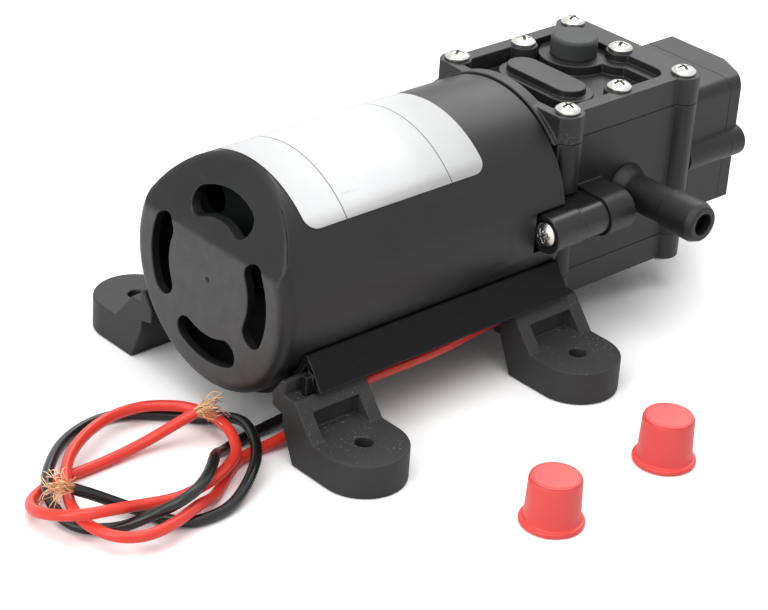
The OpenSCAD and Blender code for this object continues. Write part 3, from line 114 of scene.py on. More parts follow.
BLACK_HEIGHT = [(-105, 8.4), (-120, 8.3), (-135, 7.6), (-150, 5.3), (-165, 2.8), (-180, 1.4), (-207, 1.4),
                (-225, 4.4), (-235, 4.6), (-250, 4.6), (-285, 1.6), (-300, 1.4), (-375, 1.4), (-405, 4.6),
                (-435, 4.6), (-465, 1.6), (-480, 1.4)]
BLACK_IN = [(27.6, -20.029, 8.715), (21.6, -20.029, 8.715), (10, -21, 8.6), (0, -21, 8.4), (-10, -20.8, 8),
            (-19, -20.3, 7), (-28, -18.3, 4.8), (-38, -16, 2), (-45, -16, 1.4), (-50.5, -16.8, 1.4),
            (-55.5, -19.2, 2.3), (-60, -22.6, 5.3), (-64.5, -27.2, 8.1)]
BLACK_OUT = [(-79, -35, 1.4), (-81.6, -31.5, 1.4), (-83, -27.7, 1.4), (-85.5, -24.3, 2.1), (-89, -21.9, 4),
             (-92.9, -20.2, 6.3), (-96, -18.8, 7.9)]
LEAD_D, FLOOR_GAP = 2.6, 0.01
LEAD_LOWEST = LEAD_D / 2 + FLOOR_GAP
print("route points, red:", len(RED_IN + RED_OUT), "black:", len(BLACK_IN + BLACK_OUT))

# %% [markdown]
# A wire doesn't turn sharply at a point. Straight lines between the points would show kinks, so each
# stretch is a cubic curve that meets its neighbours smoothly at the points. A few passes of averaging then
# ease it, as stiff wire eases itself. The short stretch in the elbow stays straight, and no part of the
# wire goes below the floor.

# %% Smooth lines through the routes
EXIT_STEPS, EASE_PASSES, EASE = 1, 10, 0.5


def at_angle(pairs, angle):
    return float(np.interp(-angle, [-p[0] for p in pairs], [p[1] for p in pairs]))


def coil(start, stop, spread, height):
    points = []
    for angle in range(start, stop - 1, -LOOP_STEP):
        share, turn = at_angle(spread, angle), math.radians(angle)
        u, v = share * LOOP_LONG * math.cos(turn), share * LOOP_SHORT * math.sin(turn)
        points.append((LOOP_CENTRE[0] + u * math.cos(LOOP_TILT) - v * math.sin(LOOP_TILT),
                       LOOP_CENTRE[1] + u * math.sin(LOOP_TILT) + v * math.cos(LOOP_TILT),
                       at_angle(height, angle)))
    return points


def rounded(points, steps=6):
    """Points of a smooth line through the given ones, eased a little as stiff wire is, in metres."""
    p = np.array(points, float)
    line = []
    for i in range(len(p) - 1):
        p0, p1, p2, p3 = p[max(i - 1, 0)], p[i], p[i + 1], p[min(i + 2, len(p) - 1)]
        for u in np.arange(steps) / steps:
            line.append(0.5 * (2 * p1 + (p2 - p0) * u + (2 * p0 - 5 * p1 + 4 * p2 - p3) * u ** 2
                               + (3 * p1 - p0 - 3 * p2 + p3) * u ** 3))
    line = np.array(line + [p[-1]])
    straight = EXIT_STEPS * steps
    for _ in range(EASE_PASSES):
        line[straight:-1] += EASE * ((line[straight - 1:-2] + line[straight + 1:]) / 2 - line[straight:-1])
    line[:, 2] = np.maximum(line[:, 2], LEAD_LOWEST)
    return line * MM


red_line = rounded(RED_IN + coil(*RED_TURN, RED_SPREAD, RED_HEIGHT) + RED_OUT)
black_line = rounded(BLACK_IN + coil(*BLACK_TURN, BLACK_SPREAD, BLACK_HEIGHT) + BLACK_OUT)


def length_of(line):
    return float(np.linalg.norm(np.diff(line, axis=0), axis=1).sum())


print("red lead", round(length_of(red_line), 4), "m, black lead", round(length_of(black_line), 4), "m")

# %% [markdown]
# Each lead becomes one curve with a round bevel. A mesh tube would look the same, but a curve keeps the
# thickness exact and is easy to change. The bare end is a bunch of fine copper strands that were twisted
# once and have sprung apart: each strand is a thin curve of its own, which leaves the lead's end in the
# bundle and then wanders. The draws are seeded, so the strands are the same at every run.

# %% Leads and their copper ends
def curve_object(name, lines, radius, bevel):
    data = bpy.data.curves.new(name, "CURVE")
    data.dimensions = "3D"
    data.bevel_depth = 1.0
    data.bevel_resolution = bevel
    data.use_fill_caps = True
    for line in lines:
        spline = data.splines.new("POLY")
        spline.points.add(len(line) - 1)
        spline.points.foreach_set("co", np.c_[line, np.ones(len(line))].ravel())
        spline.points.foreach_set("radius", np.full(len(line), radius))
        spline.use_smooth = True
    obj = bpy.data.objects.new(name, data)
    bpy.context.scene.collection.objects.link(obj)
    return obj


STRANDS, STRAND_R, STRAND_POINTS = 46, 0.10 * MM, 14
STRAND_LONG = (4.5, 9.5)
BUNDLE_R, BUNDLE_BACK = 0.85 * MM, 0.6 * MM
LEANING, SPLAY = (0.2, 1.3), (0.0, 0.45)
CURL, CURL_KEPT, CURL_START, DROOP = 0.15, 0.75, 0.25, -0.2
LEAD_ROUND, STRAND_ROUND = 6, 1


def copper_tuft(name, line, lean, seed):
    """Frizzy strands from a lead's end, each one turning a little at every step."""
    draw = random.Random(seed)
    end, ahead = Vector(line[-1]), Vector(line[-1] - line[-4]).normalized()
    side = ahead.cross(Vector((0, 0, 1))).normalized()
    up = side.cross(ahead)
    lines = []
    for i in range(STRANDS):
        turn, out = draw.uniform(0, math.tau), math.sqrt(draw.random())
        offset = (side * math.cos(turn) + up * math.sin(turn)) * out
        point = end + offset * BUNDLE_R - ahead * BUNDLE_BACK
        way = (ahead + Vector(lean) * draw.uniform(*LEANING) + offset * draw.uniform(*SPLAY)).normalized()
        step = draw.uniform(*STRAND_LONG) * MM / STRAND_POINTS
        bend = Vector((0, 0, 0))
        points = [point]
        for k in range(STRAND_POINTS):
            push = Vector((draw.gauss(0, 1), draw.gauss(0, 1), draw.gauss(DROOP, 1)))
            bend = bend * CURL_KEPT + push * CURL * min(1.0, CURL_START + k / STRAND_POINTS)
            way = (way + bend).normalized()
            point = point + way * step
            point.z = max(point.z, STRAND_R)
            points.append(point)
        lines.append(np.array(points))
    return curve_object(name, lines, STRAND_R, STRAND_ROUND)


red_lead = curve_object("red_lead", [red_line], LEAD_D / 2 * MM, LEAD_ROUND)
black_lead = curve_object("black_lead", [black_line], LEAD_D / 2 * MM, LEAD_ROUND)
red_copper = copper_tuft("red_copper", red_line, lean=(0.3, -0.3, 0.1), seed=11)
black_copper = copper_tuft("black_copper", black_line, lean=(-0.2, 0.1, 0.1), seed=29)
for piece, node, slot in ((red_lead, "lead_red", "lead_red"), (black_lead, "lead_black", "lead_black"),
                          (red_copper, "copper_red", "copper"), (black_copper, "copper_black", "copper")):
    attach(piece, "base")
    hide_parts(node)
print("strands in each copper end:", STRANDS)

# %% [markdown]
# The label is a thin paper sheet with round corners, wrapped over the sleeve. A shrinkwrap modifier would
# also lay a sheet there, but its strips would come out uneven. So it is cut flat first, as the real one
# was: a flat outline is sliced into narrow strips, and then each point is bent round the sleeve by its
# distance from the top. A slight thickness gives it an edge. Sizes are in millimetres and degrees.

# %% Label
AXIS_Z = 34.5
LABEL_X0, LABEL_X1, LABEL_R = -35.0, 19.0, 27.56
LABEL_NEAR, LABEL_FAR = 50, 26
LABEL_CORNER, LABEL_T, LABEL_SLICE = 3.4, 0.19, 2.0


def rounded_outline(x0, x1, y0, y1, corner, steps=8):
    points = []
    for cx, cy, start in ((x1 - corner, y1 - corner, 0), (x0 + corner, y1 - corner, 90),
                          (x0 + corner, y0 + corner, 180), (x1 - corner, y0 + corner, 270)):
        for k in range(steps + 1):
            a = math.radians(start + 90 * k / steps)
            points.append((cx + corner * math.cos(a), cy + corner * math.sin(a)))
    return points


def mesh_object(name, bm):
    data = bpy.data.meshes.new(name)
    bm.to_mesh(data)
    bm.free()
    obj = bpy.data.objects.new(name, data)
    bpy.context.scene.collection.objects.link(obj)
    return obj


def curved_label():
    near, far = -math.radians(LABEL_NEAR) * LABEL_R, math.radians(LABEL_FAR) * LABEL_R
    bm = bmesh.new()
    bm.faces.new([bm.verts.new((x, y, 0)) for x, y in
                  rounded_outline(LABEL_X0, LABEL_X1, near, far, LABEL_CORNER)])
    for cut in np.arange(near + LABEL_SLICE, far, LABEL_SLICE):
        bmesh.ops.bisect_plane(bm, geom=bm.verts[:] + bm.edges[:] + bm.faces[:], plane_co=(0, cut, 0),
                               plane_no=(0, 1, 0))
    for v in bm.verts:
        a = v.co.y / LABEL_R
        v.co = Vector((v.co.x, LABEL_R * math.sin(a), AXIS_Z + LABEL_R * math.cos(a))) * MM
    for f in bm.faces:
        f.smooth = True
    return mesh_object("label_sheet", bm)


label_sheet = curved_label()
thick = label_sheet.modifiers.new("paper thickness", "SOLIDIFY")
thick.thickness, thick.offset = LABEL_T * MM, 1.0
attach(label_sheet, "base")
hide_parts("rating_label")
print("label strips:", len(label_sheet.data.polygons))

# %% [markdown]
# Effects that several finishes share are node groups, built once. Each group gives out a mask, a height
# or a tone, and the material decides what to do with it. A few small helpers come first, because nodes
# are long to write one by one: they add a node, do a sum, stretch a range, or lay noise on a piece.

# %% Tools for making node groups
def new_group(name, inputs, outputs):
    tree = bpy.data.node_groups.new(name, "ShaderNodeTree")
    for label, value in inputs:
        socket = tree.interface.new_socket(label, in_out="INPUT", socket_type="NodeSocketFloat")
        socket.default_value = value
    for label in outputs:
        tree.interface.new_socket(label, in_out="OUTPUT", socket_type="NodeSocketFloat")
    return tree, tree.nodes.new("NodeGroupInput"), tree.nodes.new("NodeGroupOutput")


def add(tree, kind, **values):
    node = tree.nodes.new(kind)
    for key, value in values.items():
        if key in node.inputs:
            node.inputs[key].default_value = value
        else:
            setattr(node, key, value)
    return node


def maths(tree, operation, a, b=None, clamp=False):
    node = tree.nodes.new("ShaderNodeMath")
    node.operation, node.use_clamp = operation, clamp
    for socket, value in zip(node.inputs, (a, b)):
        if isinstance(value, (int, float)):
            socket.default_value = value
        elif value is not None:
            tree.links.new(value, socket)
    return node.outputs[0]


def stretch(tree, value, low, high, to_low=0.0, to_high=1.0):
    node = add(tree, "ShaderNodeMapRange", clamp=True)
    tree.links.new(value, node.inputs["Value"])
    for key, number in (("From Min", low), ("From Max", high), ("To Min", to_low), ("To Max", to_high)):
        node.inputs[key].default_value = number
    return node.outputs["Result"]


def noise(tree, scale, detail=2.0, rough=0.5, squeeze=None):
    """Noise in the object's own frame; scale is in features per metre."""
    place = tree.nodes.new("ShaderNodeTexCoord").outputs["Object"]
    if squeeze:
        mapping = add(tree, "ShaderNodeMapping")
        mapping.inputs["Scale"].default_value = squeeze
        tree.links.new(place, mapping.inputs["Vector"])
        place = mapping.outputs["Vector"]
    node = add(tree, "ShaderNodeTexNoise", Detail=detail, Roughness=rough)
    tree.links.new(place, node.inputs["Vector"])
    if isinstance(scale, (int, float)):
        node.inputs["Scale"].default_value = scale
    else:
        tree.links.new(scale, node.inputs["Scale"])
    return node.outputs["Fac"]


print("helpers for shader nodes are ready")

# %% [markdown]
# Moulded plastic has a fine grain, and its tone drifts a little over the width of a thumb. Painted and
# rubbed edges go pale. An edge is found by comparing the surface's own direction with one that a bevel
# node has smoothed, and noise then breaks the pale line up, because no edge wears evenly.

# %% Grain and worn edges
GRAIN_SCALE, TONE_SCALE, TONE_RANGE = 2600.0, 55.0, (0.3, 0.7)
EDGE_REACH, EDGE_TURN = 0.0006, (0.985, 0.80)
CHIP_SCALE, CHIP_RANGE = 900.0, (0.42, 0.66)


def grain_group():
    tree, given, out = new_group("moulded_grain", [("Scale", GRAIN_SCALE)], ["Height", "Tone"])
    fine = noise(tree, given.outputs["Scale"], detail=3.0, rough=0.6)
    wide = noise(tree, TONE_SCALE, detail=3.0, rough=0.55)
    tree.links.new(fine, out.inputs["Height"])
    tree.links.new(stretch(tree, wide, *TONE_RANGE), out.inputs["Tone"])
    return tree


def edge_group():
    tree, given, out = new_group("worn_edges", [("Radius", EDGE_REACH), ("Amount", 1.0), ("Even", 0.0)],
                                 ["Mask"])
    soft = add(tree, "ShaderNodeBevel", samples=6)
    tree.links.new(given.outputs["Radius"], soft.inputs["Radius"])
    flat = tree.nodes.new("ShaderNodeNewGeometry").outputs["Normal"]
    dot = add(tree, "ShaderNodeVectorMath", operation="DOT_PRODUCT")
    tree.links.new(soft.outputs["Normal"], dot.inputs[0])
    tree.links.new(flat, dot.inputs[1])
    edge = stretch(tree, dot.outputs["Value"], *EDGE_TURN)
    broken = stretch(tree, noise(tree, CHIP_SCALE, detail=4.0, rough=0.6), *CHIP_RANGE)
    broken = maths(tree, "MAXIMUM", broken, given.outputs["Even"])
    mask = maths(tree, "MULTIPLY", maths(tree, "MULTIPLY", edge, broken), given.outputs["Amount"], True)
    tree.links.new(mask, out.inputs["Mask"])
    return tree


groups = {g.name: g for g in (grain_group(), edge_group())}
print("shared effects:", ", ".join(groups))

# %% [markdown]
# Dust lies on faces that look up, in specks and in patches. Handling leaves thin scuffs, which are noise
# squeezed along two directions. Shade is painted into corners and recesses, darker where a point sees
# little of the open sky, so ambient occlusion gives its mask.

# %% Dust, scuffs and painted shade in corners
SPECK_SCALE, SPECK_EDGE, SPECK_COVER = 1500.0, 14.0, 0.66
PATCH_SCALE, PATCH_RANGE = 110.0, (0.42, 0.68)
LOOKING_UP = (0.2, 0.9)
STROKE_SCALE, STROKES, CROSSINGS = 60.0, (14.0, 1.0, 3.0), (1.5, 3.0, 12.0)
STROKE_RANGE, CROSSING_RANGE = (0.60, 0.70), (0.61, 0.71)
HANDLED_SCALE, HANDLED_RANGE = 70.0, (0.45, 0.65)
# Painted shade in corners: how far the occlusion looks, and the range that turns it into darkness.
SHADE_REACH, SHADE_RANGE = 0.0015, (0.75, 0.25)


def dust_group():
    tree, given, out = new_group("settled_dust", [("Amount", 1.0), ("Cover", SPECK_COVER)], ["Mask"])
    specks = noise(tree, SPECK_SCALE, detail=3.0, rough=0.65)
    above = maths(tree, "SUBTRACT", specks, given.outputs["Cover"])
    dots = maths(tree, "MULTIPLY", above, SPECK_EDGE, True)
    patches = stretch(tree, noise(tree, PATCH_SCALE), *PATCH_RANGE)
    split = add(tree, "ShaderNodeSeparateXYZ")
    tree.links.new(tree.nodes.new("ShaderNodeNewGeometry").outputs["Normal"], split.inputs[0])
    facing_up = stretch(tree, split.outputs["Z"], *LOOKING_UP)
    mask = maths(tree, "MULTIPLY", maths(tree, "MULTIPLY", dots, patches), facing_up)
    tree.links.new(maths(tree, "MULTIPLY", mask, given.outputs["Amount"], True), out.inputs["Mask"])
    return tree


def scuff_group():
    tree, given, out = new_group("handling_scuffs", [("Amount", 1.0)], ["Mask"])
    strokes = noise(tree, STROKE_SCALE, detail=4.0, rough=0.7, squeeze=STROKES)
    crossings = noise(tree, STROKE_SCALE, detail=4.0, rough=0.7, squeeze=CROSSINGS)
    where = stretch(tree, noise(tree, HANDLED_SCALE), *HANDLED_RANGE)
    lines = maths(tree, "MAXIMUM", stretch(tree, strokes, *STROKE_RANGE),
                  stretch(tree, crossings, *CROSSING_RANGE))
    mask = maths(tree, "MULTIPLY", maths(tree, "MULTIPLY", lines, where), given.outputs["Amount"], True)
    tree.links.new(mask, out.inputs["Mask"])
    return tree


# Painted shade: corners and recesses are darkened in the colour, by ambient occlusion.
def painted_shade_group():
    tree, given, out = new_group("painted_corner_shade", [("Reach", SHADE_REACH), ("Amount", 1.0)], ["Mask"])
    open_sky = add(tree, "ShaderNodeAmbientOcclusion", samples=8)
    tree.links.new(given.outputs["Reach"], open_sky.inputs["Distance"])
    deep = stretch(tree, open_sky.outputs["AO"], *SHADE_RANGE)
    tree.links.new(maths(tree, "MULTIPLY", deep, given.outputs["Amount"], True), out.inputs["Mask"])
    return tree


groups.update({g.name: g for g in (dust_group(), scuff_group(), painted_shade_group())})
print("shared effects:", ", ".join(groups))

# %% [markdown]
# No moulded or folded edge is a knife edge: each has a small round that catches the light, and without
# it a render looks like a drawing. The solids have sharp edges, so modifiers round them and leave the
# solids as they are. Seams are welded and flat faces merged first, so that only real edges are left.
# A small geometry-node tree then marks the sharp edges with a bevel weight, because a plain angle limit
# would also read the shading that came with the solids. The tree leaves out the edges inside a box that
# is given by its middle and half its size.

# %% Mark the sharp edges
SHARP = math.radians(33)


def sharp_edge_tree():
    """Geometry nodes that smooth the shading and give each sharp edge a bevel weight of 1."""
    tree = bpy.data.node_groups.new("mark_sharp_edges", "GeometryNodeTree")
    for way in ("INPUT", "OUTPUT"):
        tree.interface.new_socket("Geometry", in_out=way, socket_type="NodeSocketGeometry")
    for name in ("Middle", "Half"):
        tree.interface.new_socket(name, in_out="INPUT", socket_type="NodeSocketVector")
    make, join = tree.nodes.new, tree.links.new
    given, out = make("NodeGroupInput"), make("NodeGroupOutput")
    plain = make("GeometryNodeRemoveAttribute")
    plain.inputs["Name"].default_value = "custom_normal"
    smooth = make("GeometryNodeSetShadeSmooth")
    angle = make("GeometryNodeInputMeshEdgeAngle")
    store = make("GeometryNodeStoreNamedAttribute")
    store.data_type, store.domain = "FLOAT", "EDGE"
    store.inputs["Name"].default_value = "bevel_weight_edge"
    join(given.outputs[0], plain.inputs[0])
    join(plain.outputs[0], smooth.inputs[0])
    join(smooth.outputs[0], store.inputs[0])
    steps = [make("ShaderNodeVectorMath") for _ in range(3)]
    for step, what in zip(steps, ("SUBTRACT", "DIVIDE", "ABSOLUTE")):
        step.operation = what
    join(make("GeometryNodeInputPosition").outputs[0], steps[0].inputs[0])
    join(given.outputs["Middle"], steps[0].inputs[1])
    join(steps[0].outputs[0], steps[1].inputs[0])
    join(given.outputs["Half"], steps[1].inputs[1])
    join(steps[1].outputs[0], steps[2].inputs[0])
    split = make("ShaderNodeSeparateXYZ")
    join(steps[2].outputs[0], split.inputs[0])
    away = maths(tree, "MAXIMUM", split.outputs[0], split.outputs[1])
    away = maths(tree, "MAXIMUM", away, split.outputs[2])
    sharp = maths(tree, "GREATER_THAN", angle.outputs["Unsigned Angle"], SHARP)
    outside = maths(tree, "GREATER_THAN", away, 1.0)
    join(maths(tree, "MULTIPLY", sharp, outside), store.inputs["Value"])
    join(store.outputs[0], out.inputs[0])
    return tree


edge_marks = sharp_edge_tree()
print("nodes that mark an edge:", len(edge_marks.nodes))

# %% [markdown]
# The rubber feet and the caps have the widest rounds, and the screw heads the finest. Inside the head and
# the switch box, where bores meet walls at a slant and nothing shows, and along the covers' thin steps,
# the edges are left sharp, because a round has no room there. Boxes and widths are in millimetres.

# %% Soft edges
WELD_GAP, FLAT = 1e-6, math.radians(0.3)
ROUND_STEPS, FACE_WEIGHT = 3, 60
NO_BOX = ((1000.0,) * 3, (1000.1,) * 3)
left_sharp = {
    "pump_body": ((48.0, -20.0, 15.0), (91.0, 20.0, 54.0)),
    "switch_housing": ((92.4, -20.5, 20.4), (107.9, 11.5, 51.2)),
    "top_cover": ((76.0, -18.0, 57.0), (90.0, -15.5, 58.0)),
    "bottom_cover": ((76.0, -18.0, 11.0), (90.0, 18.0, 12.0)),
}


def soften(obj, width):
    weld = obj.modifiers.new("weld seams", "WELD")
    weld.merge_threshold = WELD_GAP
    flats = obj.modifiers.new("merge flats", "DECIMATE")
    flats.decimate_type, flats.angle_limit = "DISSOLVE", FLAT
    marks = obj.modifiers.new("mark edges", "NODES")
    marks.node_group = edge_marks
    low, high = left_sharp.get(obj.name, NO_BOX)
    for item in edge_marks.interface.items_tree:
        if item.name == "Middle":
            marks[item.identifier] = [(a + b) / 2 * MM for a, b in zip(low, high)]
        if item.name == "Half":
            marks[item.identifier] = [(b - a) / 2 * MM for a, b in zip(low, high)]
    rounds = obj.modifiers.new("round edges", "BEVEL")
    rounds.limit_method, rounds.offset_type = "WEIGHT", "OFFSET"
    rounds.width, rounds.segments, rounds.use_clamp_overlap = width * MM, ROUND_STEPS, False
    cuts = obj.modifiers.new("cut many-sided faces", "TRIANGULATE")
    cuts.min_vertices = 4
    shading = obj.modifiers.new("even shading", "WEIGHTED_NORMAL")
    shading.weight, shading.keep_sharp = FACE_WEIGHT, True


edge_rounds = {
    0.45: ("foot_rear_near", "foot_rear_far", "foot_front_near", "foot_front_far", "port_cap_front",
           "port_cap_rear"),
    0.38: ("motor_flange", "adapter_plate"),
    0.30: ("motor_sleeve", "pump_body", "outlet_port", "inlet_port", "top_cover", "bottom_cover",
           "bypass_plug"),
    0.22: ("base_plate", "switch_housing"),
    0.15: ("switch_cover",),
    0.10: ("top_screws", "ear_screws", "switch_screws", "base_screws", "bottom_screws"),
}
for width, names in edge_rounds.items():
    for name in names:
        soften(nodes[name], width)
print("softened nodes:", sum(len(names) for names in edge_rounds.values()))

# %% [markdown]
# A finish is one Principled shader with a base colour, and then the shared effects mixed over it. Built one
# by one, the finishes would repeat the same nodes many times, so one helper makes them all. It takes the
# colour, the roughness and how much of each effect there is. What is the same all over goes straight on
# the shader's sockets, and only what changes over the surface is linked.

# %% The finish maker
SMOOTHER, ROUGHER = 0.9, 1.12
# How dark the painted shade in corners and recesses makes a colour.
SHADE_DARKNESS = 0.12
SCUFF_GAIN, SCUFF_LIFT, SCUFF_ROUGH = 2.2, 0.02, 0.15
DUST_GREY, DUST_ROUGH = (0.55, 0.54, 0.52), 0.3
GRAIN_DEPTH = 0.0001
GLOW_REACH = (0.004, 0.001, 0.001)
made_finishes = []


def place_group(tree, name, **values):
    node = tree.nodes.new("ShaderNodeGroup")
    node.node_tree = groups[name]
    for key, value in values.items():
        node.inputs[key].default_value = value
    return node


def mix_colour(tree, mask, below, above):
    node = add(tree, "ShaderNodeMix", data_type="RGBA")
    tree.links.new(mask, node.inputs["Factor"])
    for socket, value in ((node.inputs[6], below), (node.inputs[7], above)):
        if isinstance(value, tuple):
            socket.default_value = (*value, 1.0)
        else:
            tree.links.new(value, socket)
    return node.outputs[2]


def finish_material(name, colour, rough, tone, metal=0.0, grain=0.0, grain_scale=GRAIN_SCALE, wear=0.0,
                    wear_colour=None, wear_even=0.0, dust=0.0, dust_cover=SPECK_COVER, scuffs=0.0,
                    specular=0.5, soft=0.0, painted_shade=0.0, shade_reach=SHADE_REACH, rub=None):
    """A material of one finish: grain, wear, dust, painted shade and scuffs are how much of each shows."""
    material = bpy.data.materials.new(name)
    material.use_nodes = True
    tree = material.node_tree
    shader = tree.nodes["Principled BSDF"]
    shader.inputs["Metallic"].default_value = metal
    shader.inputs["Specular IOR Level"].default_value = specular
    if soft:
        shader.inputs["Subsurface Weight"].default_value = soft
        shader.inputs["Subsurface Radius"].default_value = GLOW_REACH
    base = place_group(tree, "moulded_grain", Scale=grain_scale)
    darker = tuple(c * (1 - tone) for c in colour)
    lighter = tuple(min(1.0, c * (1 + tone)) for c in colour)
    shown = mix_colour(tree, base.outputs["Tone"], darker, lighter)
    roughness = stretch(tree, base.outputs["Tone"], 0.0, 1.0, rough * SMOOTHER, min(1.0, rough * ROUGHER))
    # Painted shade: the colour is darkened where ambient occlusion finds a corner or recess.
    if painted_shade:
        corners = place_group(tree, "painted_corner_shade", Reach=shade_reach, Amount=painted_shade).outputs["Mask"]
        shown = mix_colour(tree, corners, shown, tuple(c * SHADE_DARKNESS for c in colour))
    if scuffs:
        lines = place_group(tree, "handling_scuffs", Amount=scuffs).outputs["Mask"]
        paler = tuple(min(1.0, c * SCUFF_GAIN + SCUFF_LIFT) for c in colour)
        shown = mix_colour(tree, lines, shown, paler)
        roughness = maths(tree, "ADD", roughness, maths(tree, "MULTIPLY", lines, SCUFF_ROUGH), True)
    if rub:
        shown = mix_colour(tree, rub(tree), shown, wear_colour)
    if wear:
        edges = place_group(tree, "worn_edges", Amount=wear, Even=wear_even).outputs["Mask"]
        shown = mix_colour(tree, edges, shown, wear_colour)
    if dust:
        specks = place_group(tree, "settled_dust", Amount=dust, Cover=dust_cover).outputs["Mask"]
        shown = mix_colour(tree, specks, shown, DUST_GREY)
        roughness = maths(tree, "ADD", roughness, maths(tree, "MULTIPLY", specks, DUST_ROUGH), True)
    tree.links.new(shown, shader.inputs["Base Color"])
    tree.links.new(roughness, shader.inputs["Roughness"])
    if grain:
        bump = add(tree, "ShaderNodeBump", Strength=grain, Distance=GRAIN_DEPTH)
        tree.links.new(base.outputs["Height"], bump.inputs["Height"])
        tree.links.new(bump.outputs["Normal"], shader.inputs["Normal"])
    made_finishes.append(name)
    return material


print("the finish maker is ready, with", len(groups), "shared effects")

# %% [markdown]
# Two places are rubbed more than the rest: the flat rear end, which the motor has stood on, and the head's
# near rear corner, which sticks out. Each is a mask by place, broken up by noise, and the finish mixes
# its paler colour in there. Places are in millimetres.

# %% Rubbed places
REAR_END_X, REAR_END_FADE = -46.0, (0.5, 0.05)
REAR_SCALE, REAR_RANGE, REAR_SHARE = 260.0, (0.25, 0.75), (0.22, 0.42)
CORNER_AT, CORNER_REACH, CORNER_FULL = (46.3, -20.0, 49.0), 9.0, 0.3
CORNER_SCALE, CORNER_RANGE = 1900.0, (0.54, 0.64)


def rubbed_rear_end(tree):
    place = add(tree, "ShaderNodeSeparateXYZ")
    tree.links.new(tree.nodes.new("ShaderNodeTexCoord").outputs["Object"], place.inputs[0])
    flat = stretch(tree, place.outputs["X"], *((REAR_END_X + fade) * MM for fade in REAR_END_FADE))
    clouds = noise(tree, REAR_SCALE, detail=5.0, rough=0.6)
    return maths(tree, "MULTIPLY", flat, stretch(tree, clouds, *REAR_RANGE, *REAR_SHARE))


def rubbed_corner(tree):
    apart = add(tree, "ShaderNodeVectorMath", operation="DISTANCE")
    tree.links.new(tree.nodes.new("ShaderNodeTexCoord").outputs["Object"], apart.inputs[0])
    apart.inputs[1].default_value = Vector(CORNER_AT) * MM
    near = stretch(tree, apart.outputs["Value"], CORNER_REACH * MM, CORNER_FULL * CORNER_REACH * MM)
    specks = stretch(tree, noise(tree, CORNER_SCALE, detail=4.0, rough=0.7), *CORNER_RANGE)
    return maths(tree, "MULTIPLY", near, specks)


print("rubbed places: rear end at", REAR_END_X, "and corner at", CORNER_AT)

# %% [markdown]
# The black pieces are not one black. The sleeve is smooth and satin, the head's mouldings are duller
# with a visible grain, the plate is painted steel that shows pale on its cut edges, and the feet are
# dull rubber with chalky dust. Small differences like these keep neighbours apart in the picture.

# %% Finishes of the outside
# The sleeve, the covers and the feet get painted shade in their corners and recesses.
sleeve_black = finish_material(
    "sleeve_black", (0.012, 0.012, 0.013), 0.40, tone=0.25, grain=0.10, grain_scale=1900, wear=0.12,
    wear_colour=(0.15, 0.147, 0.147), scuffs=0.2, specular=0.38, painted_shade=0.75, shade_reach=0.004,
    rub=rubbed_rear_end)
head_black = finish_material(
    "head_black", (0.012, 0.012, 0.013), 0.43, tone=0.35, grain=0.22, grain_scale=1500, wear=0.2,
    wear_colour=(0.14, 0.14, 0.14), dust=0.2, scuffs=0.35, specular=0.38)
cover_black = finish_material(
    "cover_black", (0.019, 0.019, 0.020), 0.44, tone=0.35, grain=0.22, grain_scale=1500, wear=0.25,
    wear_colour=(0.24, 0.24, 0.24), dust=0.25, scuffs=0.4, specular=0.40, painted_shade=0.6, shade_reach=0.005,
    rub=rubbed_corner)
collar_black = finish_material(
    "collar_black", (0.010, 0.010, 0.011), 0.27, tone=0.3, grain=0.10, wear=0.3,
    wear_colour=(0.16, 0.16, 0.16), scuffs=0.4, specular=0.45)
plate_black = finish_material(
    "plate_black", (0.005, 0.005, 0.006), 0.55, tone=0.25, grain=0.35, grain_scale=1300, wear=0.65,
    wear_even=0.45, wear_colour=(0.30, 0.30, 0.30), scuffs=0.25, specular=0.16)
foot_rubber = finish_material(
    "foot_rubber", (0.032, 0.032, 0.033), 0.60, tone=0.25, grain=0.35, grain_scale=1400, wear=0.25,
    wear_colour=(0.18, 0.18, 0.18), dust=0.7, dust_cover=0.63, scuffs=0.25, specular=0.40, painted_shade=0.5,
    shade_reach=0.003)
plug_rubber = finish_material(
    "plug_rubber", (0.044, 0.046, 0.046), 0.55, tone=0.15, grain=0.15, wear=0.15,
    wear_colour=(0.2, 0.2, 0.2), specular=0.42)
print("finishes so far:", len(made_finishes))

# %% [markdown]
# The bright pieces are few. The screws are plated steel, and painted shade darkens their slots. The caps
# are soft red plastic that lets a little light in. The leads are smooth coloured plastic over bare copper,
# and come out of a soft rubber elbow.

# %% Finishes of screws, caps and leads
soft_rubber = finish_material("soft_rubber", (0.03, 0.03, 0.03), 0.7, tone=0.2, grain=0.2)
# The screws get painted shade in their slots and recesses.
bright_steel = finish_material(
    "bright_steel", (0.68, 0.66, 0.62), 0.25, metal=1.0, tone=0.12, grain=0.12, grain_scale=2400, wear=0.2,
    wear_colour=(0.85, 0.84, 0.82), painted_shade=0.8)
cap_red = finish_material(
    "cap_red", (1.0, 0.093, 0.081), 0.40, tone=0.05, grain=0.06, grain_scale=900, soft=0.18)
lead_red = finish_material(
    "lead_red", (1.0, 0.060, 0.038), 0.30, tone=0.05, grain=0.05, grain_scale=900)
lead_black = finish_material(
    "lead_black", (0.010, 0.010, 0.011), 0.26, tone=0.2, grain=0.05, grain_scale=900)
bare_copper = finish_material("bare_copper", (0.82, 0.50, 0.29), 0.34, metal=1.0, tone=0.30)
print("finishes so far:", len(made_finishes))

# %% [markdown]
# The inner pieces are hidden when the pump is whole, apart from what shows through the vents, but each
# still has the finish of its real material, so that a cut or opened view looks right.

